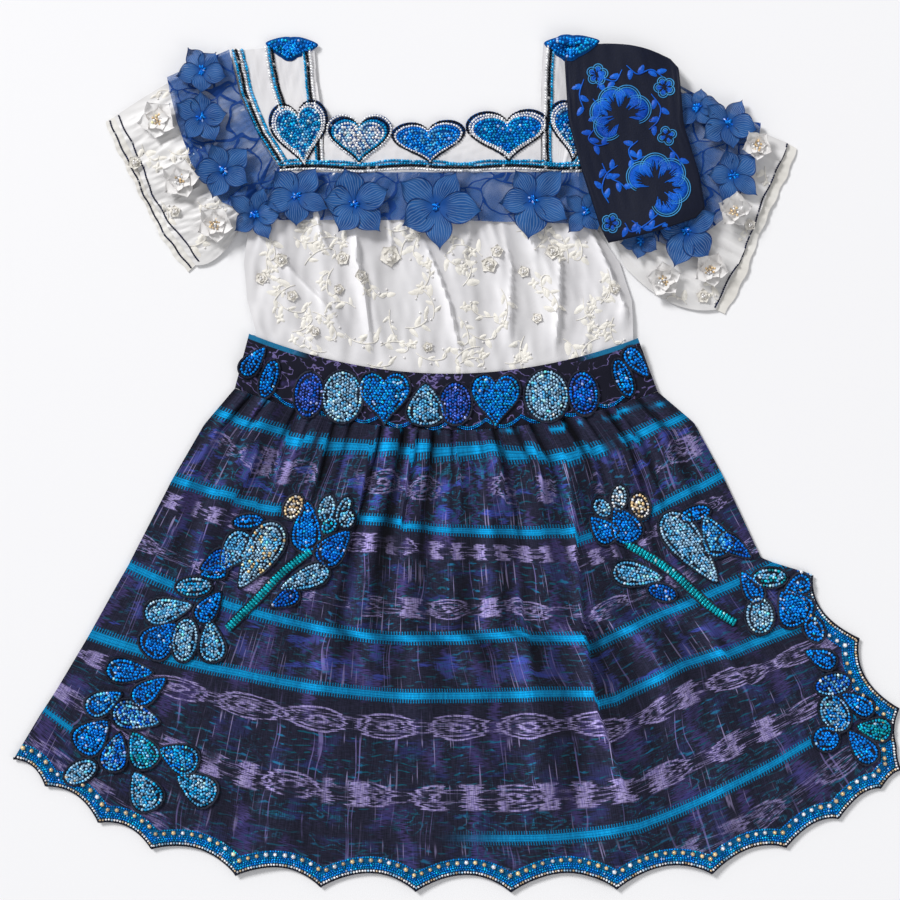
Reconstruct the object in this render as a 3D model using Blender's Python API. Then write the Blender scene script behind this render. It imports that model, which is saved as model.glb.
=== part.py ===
"""A Guatemalan folk dress, laid flat with its folded sash on one shoulder.

X runs across the dress, Y from the hem up to the neck and Z up from the surface that it lies on.
Tables and sizes are in millimetres. Left and right are as seen from above, facing the dress.
Each piece of cloth is a wall that lies on the pieces below it, a seam's gap above them.
"""

import math
from collections import namedtuple

import bmesh
import bpy
from mathutils import Vector
from mathutils.bvhtree import BVHTree
from mathutils.geometry import delaunay_2d_cdt

MM = 0.001
SEAM_GAP = 0.3
HIGH_ABOVE = 1.0
CLEAR_STEPS = 8

SKIRT_CLOTH = 1.5
BAND_CLOTH = 2.0
BLOUSE_CLOTH = 1.2
ORGANZA = 1.0
FELT = 0.8
BEAD_PAD = 2.0

# Each row crosses the skirt from its left edge to its right one. Squareness 2 is a parabola
# between the edges, and more than 2 is a flatter middle with quicker corners.
Section = namedtuple("Section", "name left_x left_y right_x right_y middle_y squareness")
SKIRT_SECTIONS = [
    Section("waist_seam", -202, 67, 179, 64, 29, 2.0),
    Section("gathers_end", -230, 34, 212, 36, -8, 2.0),
    Section("second_band", -259, -16, 238, -12, -54, 2.0),
    Section("third_band", -299, -94, 273, -87, -152, 2.1),
    Section("lobe_top", -306, -106, 319, -101, -165, 2.2),
    Section("fourth_band", -335, -158, 361, -157, -207, 2.3),
    Section("lobe_side", -363, -205, 398, -221, -270, 2.5),
    Section("fifth_band", -378, -228, 404, -250, -340, 2.7),
    Section("hem", -402, -268, 400, -278, -388, 3.2),
]
SKIRT_COLUMNS = 84
SKIRT_ROWS = (0, 0.04, 0.10, 0.19, 0.30, 0.436, 0.467, 0.518, 0.569, 0.645, 0.72, 0.86, 1.0)
SCALLOP_TIPS = (0, 3, 8, 13, 21, 29, 38, 47, 57, 66, 73, 78, 82, 84)
SIDE_TIPS = (0.467, 0.569, 0.72, 1.0)
SCALLOP_DEPTH = 0.19
HEM_BORDER = 0.14
SIDE_BORDER = 0.07

GATHERS = 21
GATHER_HEIGHT = 4.6
GATHER_LENGTH = 0.13

# Places across the skirt are shares of its width, and places down it shares of its length.
Fold = namedtuple("Fold", "top_place low_place start end height width")
SKIRT_FOLDS = [
    Fold(0.085, 0.105, 0.00, 0.55, 4.5, 0.020),
    Fold(0.190, 0.165, 0.00, 0.50, 5.5, 0.024),
    Fold(0.300, 0.285, 0.02, 0.70, 4.5, 0.022),
    Fold(0.365, 0.350, 0.00, 0.60, 6.0, 0.019),
    Fold(0.430, 0.415, 0.00, 0.75, 4.0, 0.022),
    Fold(0.500, 0.490, 0.05, 0.65, 3.5, 0.024),
    Fold(0.575, 0.560, 0.00, 0.90, 4.5, 0.022),
    Fold(0.655, 0.650, 0.05, 1.00, 7.0, 0.026),
    Fold(0.735, 0.745, 0.02, 0.75, 4.5, 0.022),
    Fold(0.820, 0.830, 0.00, 0.60, 4.5, 0.020),
    Fold(0.910, 0.900, 0.00, 0.45, 4.0, 0.022),
    Fold(0.250, 0.270, 0.60, 1.00, 4.0, 0.022),
    Fold(0.790, 0.775, 0.60, 1.00, 4.0, 0.024),
    Fold(0.430, 0.440, 0.75, 1.00, 3.0, 0.030),
]
# Beadwork stiffens the cloth, so the folds die out in these ellipses.
Calm = namedtuple("Calm", "x y across down")
BEADED_AREAS = [
    Calm(-165, -85, 62, 70),
    Calm(-265, -200, 70, 110),
    Calm(180, -85, 75, 62),
    Calm(320, -160, 70, 110),
]

BAND_TOP = Section("band_top", -189, 116, 161, 112, 80, 2.0)
BAND_COLUMNS = 36

BLOUSE_SECTIONS = [
    Section("yoke_seam", -157, 260, 118, 262, 261, 2.0),
    Section("underarm", -188, 223, 120, 216, 222, 2.0),
    Section("bust", -194, 180, 145, 180, 178, 2.0),
    Section("rib", -191, 146, 156, 146, 136, 2.0),
    Section("waist", -183, 118, 157, 114, 84, 2.0),
    Section("tucked_end", -184, 92, 158, 88, 55, 2.0),
]
BLOUSE_COLUMNS = 30
BLOUSE_ROWS = (0, 0.1, 0.2, 0.34, 0.48, 0.62, 0.74, 0.85, 1.0)
BLOUSE_FOLDS = [
    Fold(0.08, 0.10, 0.05, 0.75, 4.0, 0.035),
    Fold(0.19, 0.22, 0.00, 0.90, 5.0, 0.038),
    Fold(0.31, 0.32, 0.00, 0.92, 6.0, 0.034),
    Fold(0.43, 0.44, 0.00, 0.80, 4.0, 0.040),
    Fold(0.56, 0.55, 0.00, 0.92, 6.5, 0.034),
    Fold(0.68, 0.66, 0.00, 0.88, 5.0, 0.036),
    Fold(0.80, 0.77, 0.00, 0.85, 5.5, 0.036),
    Fold(0.91, 0.90, 0.10, 0.80, 4.0, 0.034),
]

# The yoke: two straps, a bib between them, and ribbed rows of beads down each strap.
StrapRow = namedtuple("StrapRow", "share outer_x outer_y inner_x inner_y")
LEFT_STRAP = [
    StrapRow(0.00, -206, 371, -131, 378),
    StrapRow(0.33, -197, 335, -128, 342),
    StrapRow(0.66, -181, 297, -123, 304),
    StrapRow(1.00, -159, 266, -122, 269),
]
RIGHT_STRAP = [
    StrapRow(0.00, 152, 371, 76, 378),
    StrapRow(0.33, 146, 335, 74, 342),
    StrapRow(0.66, 130, 297, 74, 304),
    StrapRow(1.00, 109, 266, 77, 269),
]
STRAP_RIBS = (0.07, 0.45, 0.92)
RIB_HALF = 0.055
RIB_HEIGHT = 1.6
BACK_NECK = 291
BIB_BOTTOM = 268.5
BibPlace = namedtuple("BibPlace", "share top_y")
BIB_TOP = [
    BibPlace(0.00, 306),
    BibPlace(0.30, 304),
    BibPlace(0.48, 293),
    BibPlace(0.62, 297),
    BibPlace(0.85, 308),
    BibPlace(1.00, 304),
]
TRIM_LOW = 260.5
TRIM_HIGH = 269.5

# Each row runs from the yoke's seam out to the cuff, at a share of the way from the shoulder
# fold to the underarm fold.
SleeveRow = namedtuple("SleeveRow", "share seam_x seam_y cuff_x cuff_y bulge")
LEFT_SLEEVE = [
    SleeveRow(0.00, -207, 370, -311, 312, 3),
    SleeveRow(0.25, -197, 327, -294, 276, 2),
    SleeveRow(0.50, -178, 288, -280, 241, 0),
    SleeveRow(0.75, -162, 261, -260, 208, -5),
    SleeveRow(1.00, -194, 217, -238, 178, -11),
]
RIGHT_SLEEVE = [
    SleeveRow(0.00, 153, 370, 297, 288, -7),
    SleeveRow(0.25, 148, 327, 282, 253, -3),
    SleeveRow(0.50, 131, 288, 267, 214, 0),
    SleeveRow(0.75, 121, 258, 251, 177, -5),
    SleeveRow(1.00, 149, 177, 232, 138, -13),
]
SLEEVE_PUFF = 6.0
SLEEVE_WAVES = 3
CUFF_DEPTH = 9.0

# Each row of a flounce runs from the edge that is sewn to the yoke out to its free edge.
FlounceRow = namedtuple("FlounceRow", "share sewn_x sewn_y free_x free_y bulge")
LEFT_FLOUNCE = [
    FlounceRow(0.00, -207, 372, -263, 347, 0),
    FlounceRow(0.30, -197, 330, -254, 308, 0),
    FlounceRow(0.60, -180, 294, -240, 268, 0),
    FlounceRow(0.80, -168, 274, -213, 234, 0),
    FlounceRow(1.00, -158.5, 262, -180, 219, 0),
]
FRONT_FLOUNCE = [
    FlounceRow(0.00, -157.5, 261, -178.5, 218, 0),
    FlounceRow(0.50, -20, 261, -22, 218, 0),
    FlounceRow(1.00, 117, 261, 141, 214, 0),
]
RIGHT_FLOUNCE = [
    FlounceRow(0.00, 153, 370, 272, 306, -12),
    FlounceRow(0.30, 148, 330, 264, 262, -4),
    FlounceRow(0.60, 133, 294, 242, 222, 0),
    FlounceRow(0.80, 124, 274, 200, 190, 0),
    FlounceRow(1.00, 118, 262, 142.5, 213, 0),
]
FLOUNCE_WAVE = 3.0

Blossom = namedtuple("Blossom", "x y radius turn")
ORGANZA_BLOSSOMS = [
    Blossom(-231, 352, 24, 20),
    Blossom(-231, 310, 26, 50),
    Blossom(-211, 262, 28, 5),
    Blossom(-183, 222, 25, 40),
    Blossom(-146, 239, 29, 15),
    Blossom(-94, 232, 32, 62),
    Blossom(-20, 230, 37, 30),
    Blossom(66, 236, 34, 10),
    Blossom(114, 225, 22, 44),
    Blossom(214, 318, 22, 50),
    Blossom(241, 305, 27, 26),
    Blossom(246, 258, 27, 0),
    Blossom(204, 208, 31, 65),
    Blossom(163, 199, 19, 8),
]
LACE_BLOSSOMS = [
    Blossom(-271, 308, 19, 10),
    Blossom(-250, 254, 19, 40),
    Blossom(-219, 214, 18, 25),
    Blossom(267, 284, 15, 15),
    Blossom(247, 226, 17, 50),
    Blossom(226, 173, 17, 30),
    Blossom(184, 164, 17, 60),
]
PETALS = 5
PETAL_STEPS = 3
BLOSSOM_CLOTH = 1.0

# Beadwork: x and y of each pad's middle, its length and width, and its turn in degrees. A stem is
# a flat strip that has no crown.
Pad = namedtuple("Pad", "shape x y length width turn")
NECK_HEARTS = [
    Pad("heart", -143, 295, 57, 49, 8),
    Pad("heart", -90, 290, 43, 55, 0),
    Pad("heart", -27, 288, 35, 62, 4),
    Pad("heart", 44, 294, 43, 70, 3),
    Pad("heart", 106, 298, 50, 50, -8),
    Pad("stem", -117, 296, 24, 7, 0),
    Pad("stem", -59, 292, 24, 7, 0),
    Pad("stem", 6, 296, 34, 7, 10),
    Pad("stem", 80, 300, 24, 7, 0),
]
BAND_LEFT = [
    Pad("leaf", -185, 91, 30, 13, 50),
    Pad("oval", -171, 75, 34, 14, 72),
    Pad("stem", -178, 82, 18, 7, -30),
]
BAND_MIDDLE = [
    Pad("oval", -135, 61, 39, 25, 84),
    Pad("oval", -105, 59, 45, 35, 88),
    Pad("heart", -67, 57, 46, 44, 0),
    Pad("leaf", -30, 52, 36, 29, 90),
    Pad("oval", -3, 53, 36, 27, 90),
    Pad("heart", 33, 55, 46, 42, 0),
    Pad("oval", 79, 60, 45, 38, 94),
    Pad("oval", 112, 62, 38, 25, 98),
    Pad("stem", -45, 52, 30, 7, 0),
    Pad("stem", -16, 50, 26, 7, 0),
    Pad("stem", 12, 50, 26, 7, 0),
    Pad("stem", 58, 56, 30, 7, 0),
    Pad("stem", 96, 60, 24, 7, 0),
]
BAND_RIGHT = [
    Pad("oval", 148, 76, 34, 14, -68),
    Pad("leaf", 160, 90, 30, 13, -50),
]
LEFT_BLOSSOM_SPRAY = [
    Pad("leaf", -180, -84, 66, 27, 238),
    Pad("leaf", -202, -80, 38, 22, 232),
    Pad("leaf", -219, -90, 28, 17, 204),
    Pad("oval", -149, -40, 22, 15, 60),
    Pad("leaf", -137, -58, 44, 23, 88),
    Pad("oval", -119, -42, 24, 14, 75),
    Pad("leaf", -112, -76, 38, 21, 46),
    Pad("leaf", -139, -105, 46, 17, 202),
    Pad("stem", -153, -95, 50, 7, 40),
    Pad("stem", -189, -129, 58, 7, 46),
    Pad("stem", -190, -117, 28, 6, -40),
]
LEFT_LEAF_SPRAY = [
    Pad("oval", -239, -112, 31, 16, 2),
    Pad("leaf", -262, -133, 42, 20, 12),
    Pad("leaf", -225, -130, 31, 16, 52),
    Pad("leaf", -269, -159, 37, 26, 44),
    Pad("oval", -247, -160, 38, 22, 82),
    Pad("leaf", -223, -161, 36, 20, 96),
    Pad("leaf", -297, -188, 40, 18, -4),
    Pad("leaf", -279, -205, 34, 16, 36),
    Pad("leaf", -320, -216, 34, 18, 28),
    Pad("leaf", -291, -229, 42, 22, -14),
    Pad("leaf", -330, -246, 36, 25, 44),
    Pad("leaf", -310, -261, 34, 20, 76),
    Pad("leaf", -286, -259, 34, 23, 118),
    Pad("oval", -341, -279, 30, 18, 30),
    Pad("leaf", -284, -296, 36, 25, 118),
    Pad("leaf", -253, -266, 36, 23, 156),
    Pad("leaf", -237, -293, 38, 24, 148),
    Pad("stem", -246, -120, 24, 6, 50),
    Pad("stem", -276, -176, 42, 6, 37),
    Pad("stem", -292, -197, 26, 6, -60),
    Pad("stem", -336, -268, 26, 6, 55),
    Pad("stem", -284, -281, 26, 6, 90),
]
RIGHT_BLOSSOM_SPRAY = [
    Pad("leaf", 209, -77, 76, 27, -52),
    Pad("leaf", 230, -66, 38, 22, 116),
    Pad("oval", 163, -39, 22, 16, 108),
    Pad("leaf", 149, -56, 34, 23, 118),
    Pad("leaf", 129, -60, 28, 17, 134),
    Pad("leaf", 164, -99, 44, 19, -8),
    Pad("stem", 169, -84, 46, 7, -31),
    Pad("stem", 199, -106, 40, 7, -42),
    Pad("stem", 229, -131, 48, 7, -36),
    Pad("stem", 218, -106, 26, 6, -88),
]
RIGHT_LEAF_SPRAY = [
    Pad("oval", 280, -104, 30, 16, 2),
    Pad("leaf", 263, -112, 30, 14, 122),
    Pad("oval", 271, -138, 32, 24, 94),
    Pad("leaf", 303, -128, 34, 30, 128),
    Pad("leaf", 309, -108, 24, 19, 204),
    Pad("oval", 324, -149, 24, 17, 118),
    Pad("leaf", 326, -176, 28, 14, 156),
    Pad("oval", 337, -200, 31, 18, 12),
    Pad("oval", 339, -226, 34, 25, 118),
    Pad("leaf", 359, -217, 31, 14, 148),
    Pad("leaf", 374, -240, 30, 17, 172),
    Pad("oval", 331, -249, 22, 21, 0),
    Pad("leaf", 363, -256, 34, 17, 130),
    Pad("stem", 287, -131, 26, 6, 20),
    Pad("stem", 325, -163, 26, 6, 90),
    Pad("stem", 331, -188, 26, 6, -65),
    Pad("stem", 369, -230, 26, 6, -50),
    Pad("stem", 352, -243, 28, 6, -50),
]
LEFT_BROOCH = [Pad("leaf", -163, 373, 26, 13, 160), Pad("leaf", -146, 373, 30, 15, 20), Pad("oval", -155, 366, 20, 12, 90)]
RIGHT_BROOCH = [Pad("leaf", 91, 374, 28, 15, 165), Pad("leaf", 110, 373, 30, 13, 15), Pad("oval", 100, 366, 20, 13, 90)]
PAD_STEPS = 8
HEART_STEPS = 12
FELT_MARGIN = 2.6
CROWN_SHARE = 0.7

# The sash is folded into a flat bundle, whose edges show its layers.
SashRow = namedtuple("SashRow", "share left_x left_y right_x right_y bulge")
SASH = [
    SashRow(0.00, 98, 371, 190, 363, 9),
    SashRow(0.06, 95, 360, 197, 354, 7),
    SashRow(0.35, 98, 308, 201, 303, 0),
    SashRow(0.65, 110, 262, 215, 258, 0),
    SashRow(0.92, 126, 212, 220, 228, 0),
    SashRow(1.00, 134, 197, 212, 219, -2),
]
SASH_LAYERS = 3
SASH_LAYER = 2.4
SASH_NOTCH = 0.985

parts = bpy.data.collections.new("guatemalan_folk_dress")


def clear_scene():
    for obj in list(bpy.data.objects):
        bpy.data.objects.remove(obj, do_unlink=True)
    bpy.context.scene.collection.children.link(parts)


def cloth(name, colour, roughness, metallic=0.0):
    material = bpy.data.materials.new(name)
    material.use_nodes = True
    shader = material.node_tree.nodes["Principled BSDF"]
    shader.inputs["Base Color"].default_value = (*colour, 1.0)
    shader.inputs["Roughness"].default_value = roughness
    shader.inputs["Metallic"].default_value = metallic
    return material


def smooth_step(value):
    value = min(max(value, 0.0), 1.0)
    return value * value * (3 - 2 * value)


def blend_rows(rows, shares, share, *columns):
    """The named columns of a table, read in a straight line between the two rows around a share."""
    low = 0
    while low < len(rows) - 2 and share > shares[low + 1]:
        low += 1
    part = (share - shares[low]) / (shares[low + 1] - shares[low])
    pick = [getattr(rows[low], c) + part * (getattr(rows[low + 1], c) - getattr(rows[low], c)) for c in columns]
    return pick


def along_sections(rows, across, down):
    """A place on a panel: across its section, whose middle hangs below the line between its edges."""
    length = rows[0].middle_y - rows[-1].middle_y
    shares = [(rows[0].middle_y - row.middle_y) / length for row in rows]
    left_x, left_y, right_x, right_y, middle_y, square = blend_rows(
        rows, shares, down, "left_x", "left_y", "right_x", "right_y", "middle_y", "squareness"
    )
    drop = (left_y + right_y) / 2 - middle_y
    x = left_x + across * (right_x - left_x)
    y = left_y + across * (right_y - left_y) - drop * (1 - abs(2 * across - 1) ** square)
    return Vector((x, y))


def fold_height(folds, across, down):
    """The height of the soft ridges at a place: each is a bell across, which fades at its two ends."""
    height = 0.0
    for fold in folds:
        if not fold.start <= down <= fold.end:
            continue
        middle = fold.top_place + (fold.low_place - fold.top_place) * down
        bell = math.exp(-(((across - middle) / fold.width) ** 2))
        start = 1.0 if fold.start == 0 else smooth_step((down - fold.start) / 0.12)
        end = 0.5 if fold.end == 1 else smooth_step((fold.end - down) / 0.2)
        height += fold.height * bell * start * end
    return height


def edge_fade(across, width):
    return smooth_step(min(across, 1 - across) / width)


def scallop_pull(place, tips, width_of):
    """How far an arch between two tips draws the hem in: nothing at a tip, the most midway."""
    for start, end in zip(tips, tips[1:]):
        if start <= place <= end:
            share = (place - start) / (end - start)
            return SCALLOP_DEPTH * width_of(start, end) * math.sin(math.pi * share) ** 0.8
    return 0.0


def skirt_place(across, down):
    """The place on the skirt with its hem and its right side drawn into scallops."""
    place = along_sections(SKIRT_SECTIONS, across, down)
    tips = [tip / SKIRT_COLUMNS for tip in SCALLOP_TIPS]

    def hem_width(start, end):
        return (along_sections(SKIRT_SECTIONS, end, 1) - along_sections(SKIRT_SECTIONS, start, 1)).length

    def side_width(start, end):
        return (along_sections(SKIRT_SECTIONS, 1, end) - along_sections(SKIRT_SECTIONS, 1, start)).length

    if down > 1 - HEM_BORDER:
        inward = (along_sections(SKIRT_SECTIONS, across, 0.8) - along_sections(SKIRT_SECTIONS, across, 1)).normalized()
        fade = smooth_step((down - 1 + HEM_BORDER) / HEM_BORDER)
        place = place + inward * scallop_pull(across, tips, hem_width) * fade
    if across > 1 - SIDE_BORDER and down > SIDE_TIPS[0]:
        inward = (along_sections(SKIRT_SECTIONS, 0.85, down) - along_sections(SKIRT_SECTIONS, 1, down)).normalized()
        fade = smooth_step((across - 1 + SIDE_BORDER) / SIDE_BORDER)
        place = place + inward * scallop_pull(down, SIDE_TIPS, side_width) * fade
    return place


def skirt_lift(across, down):
    """Gathers at the waist that fade into a few long folds, flat under the beadwork and at the sides."""
    gathers = GATHER_HEIGHT * math.exp(-down / GATHER_LENGTH) * (0.5 - 0.5 * math.cos(2 * math.pi * GATHERS * across))
    uneven = 0.8 + 0.2 * math.sin(17 * across + 1)
    place = skirt_place(across, down)
    calm = 1.0
    for area in BEADED_AREAS:
        far = ((place.x - area.x) / area.across) ** 2 + ((place.y - area.y) / area.down) ** 2
        calm = min(calm, 0.12 + 0.88 * smooth_step((far - 0.6) / 0.9))
    folds = fold_height(SKIRT_FOLDS, across, down) * calm
    return (gathers * uneven + folds) * edge_fade(across, 0.03)


def surface_of(names):
    """One search tree over all faces of the pieces that carry the next one."""
    corners, faces = [], []
    for name in names:
        mesh = parts.objects[name].data
        start = len(corners)
        corners += [vert.co.copy() for vert in mesh.vertices]
        faces += [[start + index for index in face.vertices] for face in mesh.polygons]
    return BVHTree.FromPolygons(corners, faces) if faces else None


def top_at(surface, x, y):
    """The height of the surface at a place, or None beside it."""
    if surface is None:
        return None
    hit = surface.ray_cast(Vector((x * MM, y * MM, HIGH_ABOVE)), Vector((0, 0, -1)))[0]
    return None if hit is None else hit.z / MM


def lying_on(surface, x, y, reach):
    """The height at which cloth rests: a seam's gap over the highest point within its reach."""
    steps = [(0, 0)] + [(reach * math.cos(n * math.pi / 4), reach * math.sin(n * math.pi / 4)) for n in range(8)]
    tops = [top_at(surface, x + dx, y + dy) for dx, dy in steps]
    tops = [top for top in tops if top is not None]
    return max(tops) + SEAM_GAP if tops else 0.0


def raise_face(face, short):
    for vert in face.verts:
        vert.co.z += short * MM


def clear_of(mesh_data, names):
    """Raises the corners of each face until the whole face is a seam's gap above the pieces below."""
    surface = surface_of(names)
    peaks = [vert.co for name in names for vert in parts.objects[name].data.vertices]
    steps = range(CLEAR_STEPS + 1)
    shares = [(n / CLEAR_STEPS, m / CLEAR_STEPS) for n in steps for m in steps if n + m <= CLEAR_STEPS]
    bmesh.ops.triangulate(mesh_data, faces=mesh_data.faces)
    mesh_data.faces.ensure_lookup_table()
    for _ in range(3):
        for face in mesh_data.faces:
            first, second, third = (vert.co for vert in face.verts)
            short = 0.0
            for a, b in shares:
                point = (first * a + second * b + third * (1 - a - b)) / MM
                top = top_at(surface, point.x, point.y)
                if top is not None:
                    short = max(short, top + SEAM_GAP - point.z)
            raise_face(face, short)
        cloth_above = BVHTree.FromBMesh(mesh_data)
        for peak in peaks:
            hit, _, index, _ = cloth_above.ray_cast(Vector((peak.x, peak.y, HIGH_ABOVE)), Vector((0, 0, -1)))
            if hit is not None and hit.z < peak.z + SEAM_GAP * MM:
                raise_face(mesh_data.faces[index], (peak.z - hit.z) / MM + SEAM_GAP)
    for _ in range(12):
        crossed = BVHTree.FromBMesh(mesh_data).overlap(surface) if surface else []
        for index in {pair[0] for pair in crossed}:
            raise_face(mesh_data.faces[index], SEAM_GAP / 2)


def keep(name, mesh_data, material, smooth_angle=40):
    """Turns a finished bmesh into a named part."""
    bmesh.ops.triangulate(mesh_data, faces=mesh_data.faces)
    bmesh.ops.recalc_face_normals(mesh_data, faces=mesh_data.faces)
    mesh = bpy.data.meshes.new(name)
    mesh_data.to_mesh(mesh)
    mesh_data.free()
    mesh.materials.append(material)
    mesh.shade_smooth()
    mesh.set_sharp_from_angle(angle=math.radians(smooth_angle))
    obj = bpy.data.objects.new(name, mesh)
    parts.objects.link(obj)
    return obj


def thicken_up(mesh_data, wall):
    """Extrudes the whole surface straight up by the cloth's thickness, so that its outline stays exact."""
    made = bmesh.ops.extrude_face_region(mesh_data, geom=mesh_data.faces[:])
    raised = [item for item in made["geom"] if isinstance(item, bmesh.types.BMVert)]
    bmesh.ops.translate(mesh_data, verts=raised, vec=Vector((0, 0, wall * MM)))
    return raised


def sheet(name, material, place, lift, columns, rows, wall, below=(), reach=5.0, extra=None):
    """A wall of cloth from a grid: place gives x and y, lift the height over what is below it.

    Columns and rows are counts, or the shares at which the grid's lines run. Extra adds a height to
    the outer face alone, as ribs and pads do.
    """
    across = [n / columns for n in range(columns + 1)] if isinstance(columns, int) else list(columns)
    down = [n / rows for n in range(rows + 1)] if isinstance(rows, int) else list(rows)
    mesh_data = bmesh.new()
    bmesh.ops.create_grid(mesh_data, x_segments=len(across) - 1, y_segments=len(down) - 1, size=0.5)
    surface = surface_of(below)
    tags = mesh_data.verts.layers.float.new("extra")
    for vert in mesh_data.verts:
        u = across[round((vert.co.x + 0.5) * (len(across) - 1))]
        v = down[round((0.5 - vert.co.y) * (len(down) - 1))]
        x, y = place(u, v)
        z = lying_on(surface, x, y, reach) + lift(u, v)
        vert[tags] = extra(u, v) if extra else 0.0
        vert.co = Vector((x * MM, y * MM, z * MM))
    bmesh.ops.remove_doubles(mesh_data, verts=mesh_data.verts, dist=0.00001)
    clear_of(mesh_data, below)
    for vert in thicken_up(mesh_data, wall):
        vert.co.z += vert[tags] * MM
    return keep(name, mesh_data, material)


def flat_cut(name, material, outline, wall):
    """A flat panel on the surface that the dress lies on, cut to an outline."""
    curve = bpy.data.curves.new(name, "CURVE")
    curve.dimensions = "2D"
    curve.fill_mode = "BOTH"
    curve.extrude = wall * MM / 2
    spline = curve.splines.new("POLY")
    spline.points.add(len(outline) - 1)
    for point, (x, y) in zip(spline.points, outline):
        point.co = (x * MM, y * MM, 0, 1)
    spline.use_cyclic_u = True
    drawn = bpy.data.objects.new(name + "_outline", curve)
    parts.objects.link(drawn)
    drawn.location.z = wall * MM / 2
    bpy.context.view_layer.update()
    evaluated = drawn.evaluated_get(bpy.context.evaluated_depsgraph_get())
    mesh_data = bmesh.new()
    mesh_data.from_mesh(bpy.data.meshes.new_from_object(evaluated))
    bmesh.ops.transform(mesh_data, matrix=drawn.matrix_world, verts=mesh_data.verts)
    bmesh.ops.remove_doubles(mesh_data, verts=mesh_data.verts, dist=0.00001)
    bpy.data.objects.remove(drawn, do_unlink=True)
    return keep(name, mesh_data, material)


def drawn_in(outline, amount):
    """An outline moved towards its middle by a share of its size, so that the piece above hides it."""
    middle = sum((Vector(point) for point in outline), Vector((0, 0))) / len(outline)
    return [Vector(point) + (middle - Vector(point)) * amount for point in outline]


def pad_outline(pad, grow, steps, share=1.0):
    """A pad's outline: an ellipse, a leaf with one pointed end, or a heart, grown by a margin."""
    half_long = pad.length / 2 + grow
    half_wide = pad.width / 2 + grow
    turn = math.radians(pad.turn)
    points = []
    for step in range(steps):
        angle = 2 * math.pi * (step + 0.5) / steps if pad.shape == "oval" else 2 * math.pi * step / steps
        if pad.shape == "heart":
            along = half_wide * math.sin(angle) ** 3
            up = half_long * (13 * math.cos(angle) - 5 * math.cos(2 * angle) - 2 * math.cos(3 * angle)
                              - math.cos(4 * angle) + 2.5) / 14.5
        else:
            narrow = 0.55 * math.cos(angle) if pad.shape == "leaf" else 0.0
            along = half_long * math.cos(angle)
            up = half_wide * math.sin(angle) * (1 - narrow)
        along, up = along * share, up * share
        x = pad.x + along * math.cos(turn) - up * math.sin(turn)
        y = pad.y + along * math.sin(turn) + up * math.cos(turn)
        points.append((x, y))
    return points


def beadwork(name, material, pads, below, reach=5.0):
    """Beaded pads on one felt backing: the felts' union is cut in one piece, with each crown raised."""
    points, outlines, crowns = [], [], set()
    for pad in pads:
        steps = HEART_STEPS if pad.shape == "heart" else PAD_STEPS
        rings = ((FELT_MARGIN, steps, 1.0), (0.0, steps - 2, CROWN_SHARE))
        for grow, steps, share in rings[:1] if pad.shape == "stem" else rings:
            ring = pad_outline(pad, grow, steps, share)
            outlines.append(list(range(len(points), len(points) + len(ring))))
            if share < 1:
                crowns.update(outlines[-1])
            points += ring
    flat, _, faces, sources, _, _ = delaunay_2d_cdt([Vector(p) for p in points], [], outlines, 1, 0.01)
    mesh_data = bmesh.new()
    surface = surface_of(below)
    tags = mesh_data.verts.layers.float.new("crown")
    verts = []
    for place, source in zip(flat, sources):
        height = lying_on(surface, place.x, place.y, reach)
        vert = mesh_data.verts.new((place.x * MM, place.y * MM, height * MM))
        vert[tags] = BEAD_PAD if any(index in crowns for index in source) else 0.0
        verts.append(vert)
    for face in faces:
        mesh_data.faces.new([verts[index] for index in face])
    clear_of(mesh_data, below)
    for vert in thicken_up(mesh_data, FELT):
        vert.co.z += vert[tags] * MM
    return keep(name, mesh_data, material)


def blossom(name, material, flower, steps_out):
    """Five petals in one round sheet that cups up towards their tips."""
    around = PETALS * PETAL_STEPS

    def place(u, v):
        angle = 2 * math.pi * u + math.radians(flower.turn)
        petal = abs(math.sin(math.pi * PETALS * u)) ** 0.7
        radius = flower.radius * v * (0.5 + 0.5 * petal)
        return flower.x + radius * math.cos(angle), flower.y + radius * math.sin(angle)

    def lift(u, v):
        return 2.5 * v * abs(math.sin(math.pi * PETALS * u))

    below = [obj.name for obj in parts.objects]
    return sheet(name, material, place, lift, around, steps_out, BLOSSOM_CLOTH, below)


def build_skirt(cotton):
    tips = [n / SKIRT_COLUMNS for n in range(SKIRT_COLUMNS + 1)]
    waist = [skirt_place(u, 0) for u in tips[::6]]
    right = [skirt_place(1, v) for v in SKIRT_ROWS[1:-1]]
    hem = [skirt_place(u, 1) for u in reversed(tips)][::2]
    left = [skirt_place(0, v) for v in reversed(SKIRT_ROWS[1:-1])]
    back = drawn_in(waist + right + hem + left, 0.006)
    flat_cut("skirt_back", cotton, back, SKIRT_CLOTH)
    sheet("skirt_front", cotton, skirt_place, skirt_lift, SKIRT_COLUMNS, SKIRT_ROWS, SKIRT_CLOTH, ["skirt_back"])


def band_place(across, down):
    top = along_sections([BAND_TOP, SKIRT_SECTIONS[0]], across, 0)
    low = along_sections([BAND_TOP, SKIRT_SECTIONS[0]], across, 1) + Vector((0, SEAM_GAP))
    return top.lerp(low, down)


def build_waistband_back(cotton):
    shares = [n / 8 for n in range(9)]
    outline = [band_place(u, 0) for u in shares] + [band_place(u, 1) for u in reversed(shares)]
    waist = drawn_in(outline, 0.02)
    flat_cut("waistband_back", cotton, waist, BAND_CLOTH)


def build_waistband_front(cotton):
    def lift(across, down):
        return 1.2 * math.sin(math.pi * down) * edge_fade(across, 0.1)

    sheet("waistband_front", cotton, band_place, lift, BAND_COLUMNS, 3, BAND_CLOTH, ["blouse_front", "waistband_back"])


def blouse_place(across, down):
    return along_sections(BLOUSE_SECTIONS, across, down)


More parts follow.
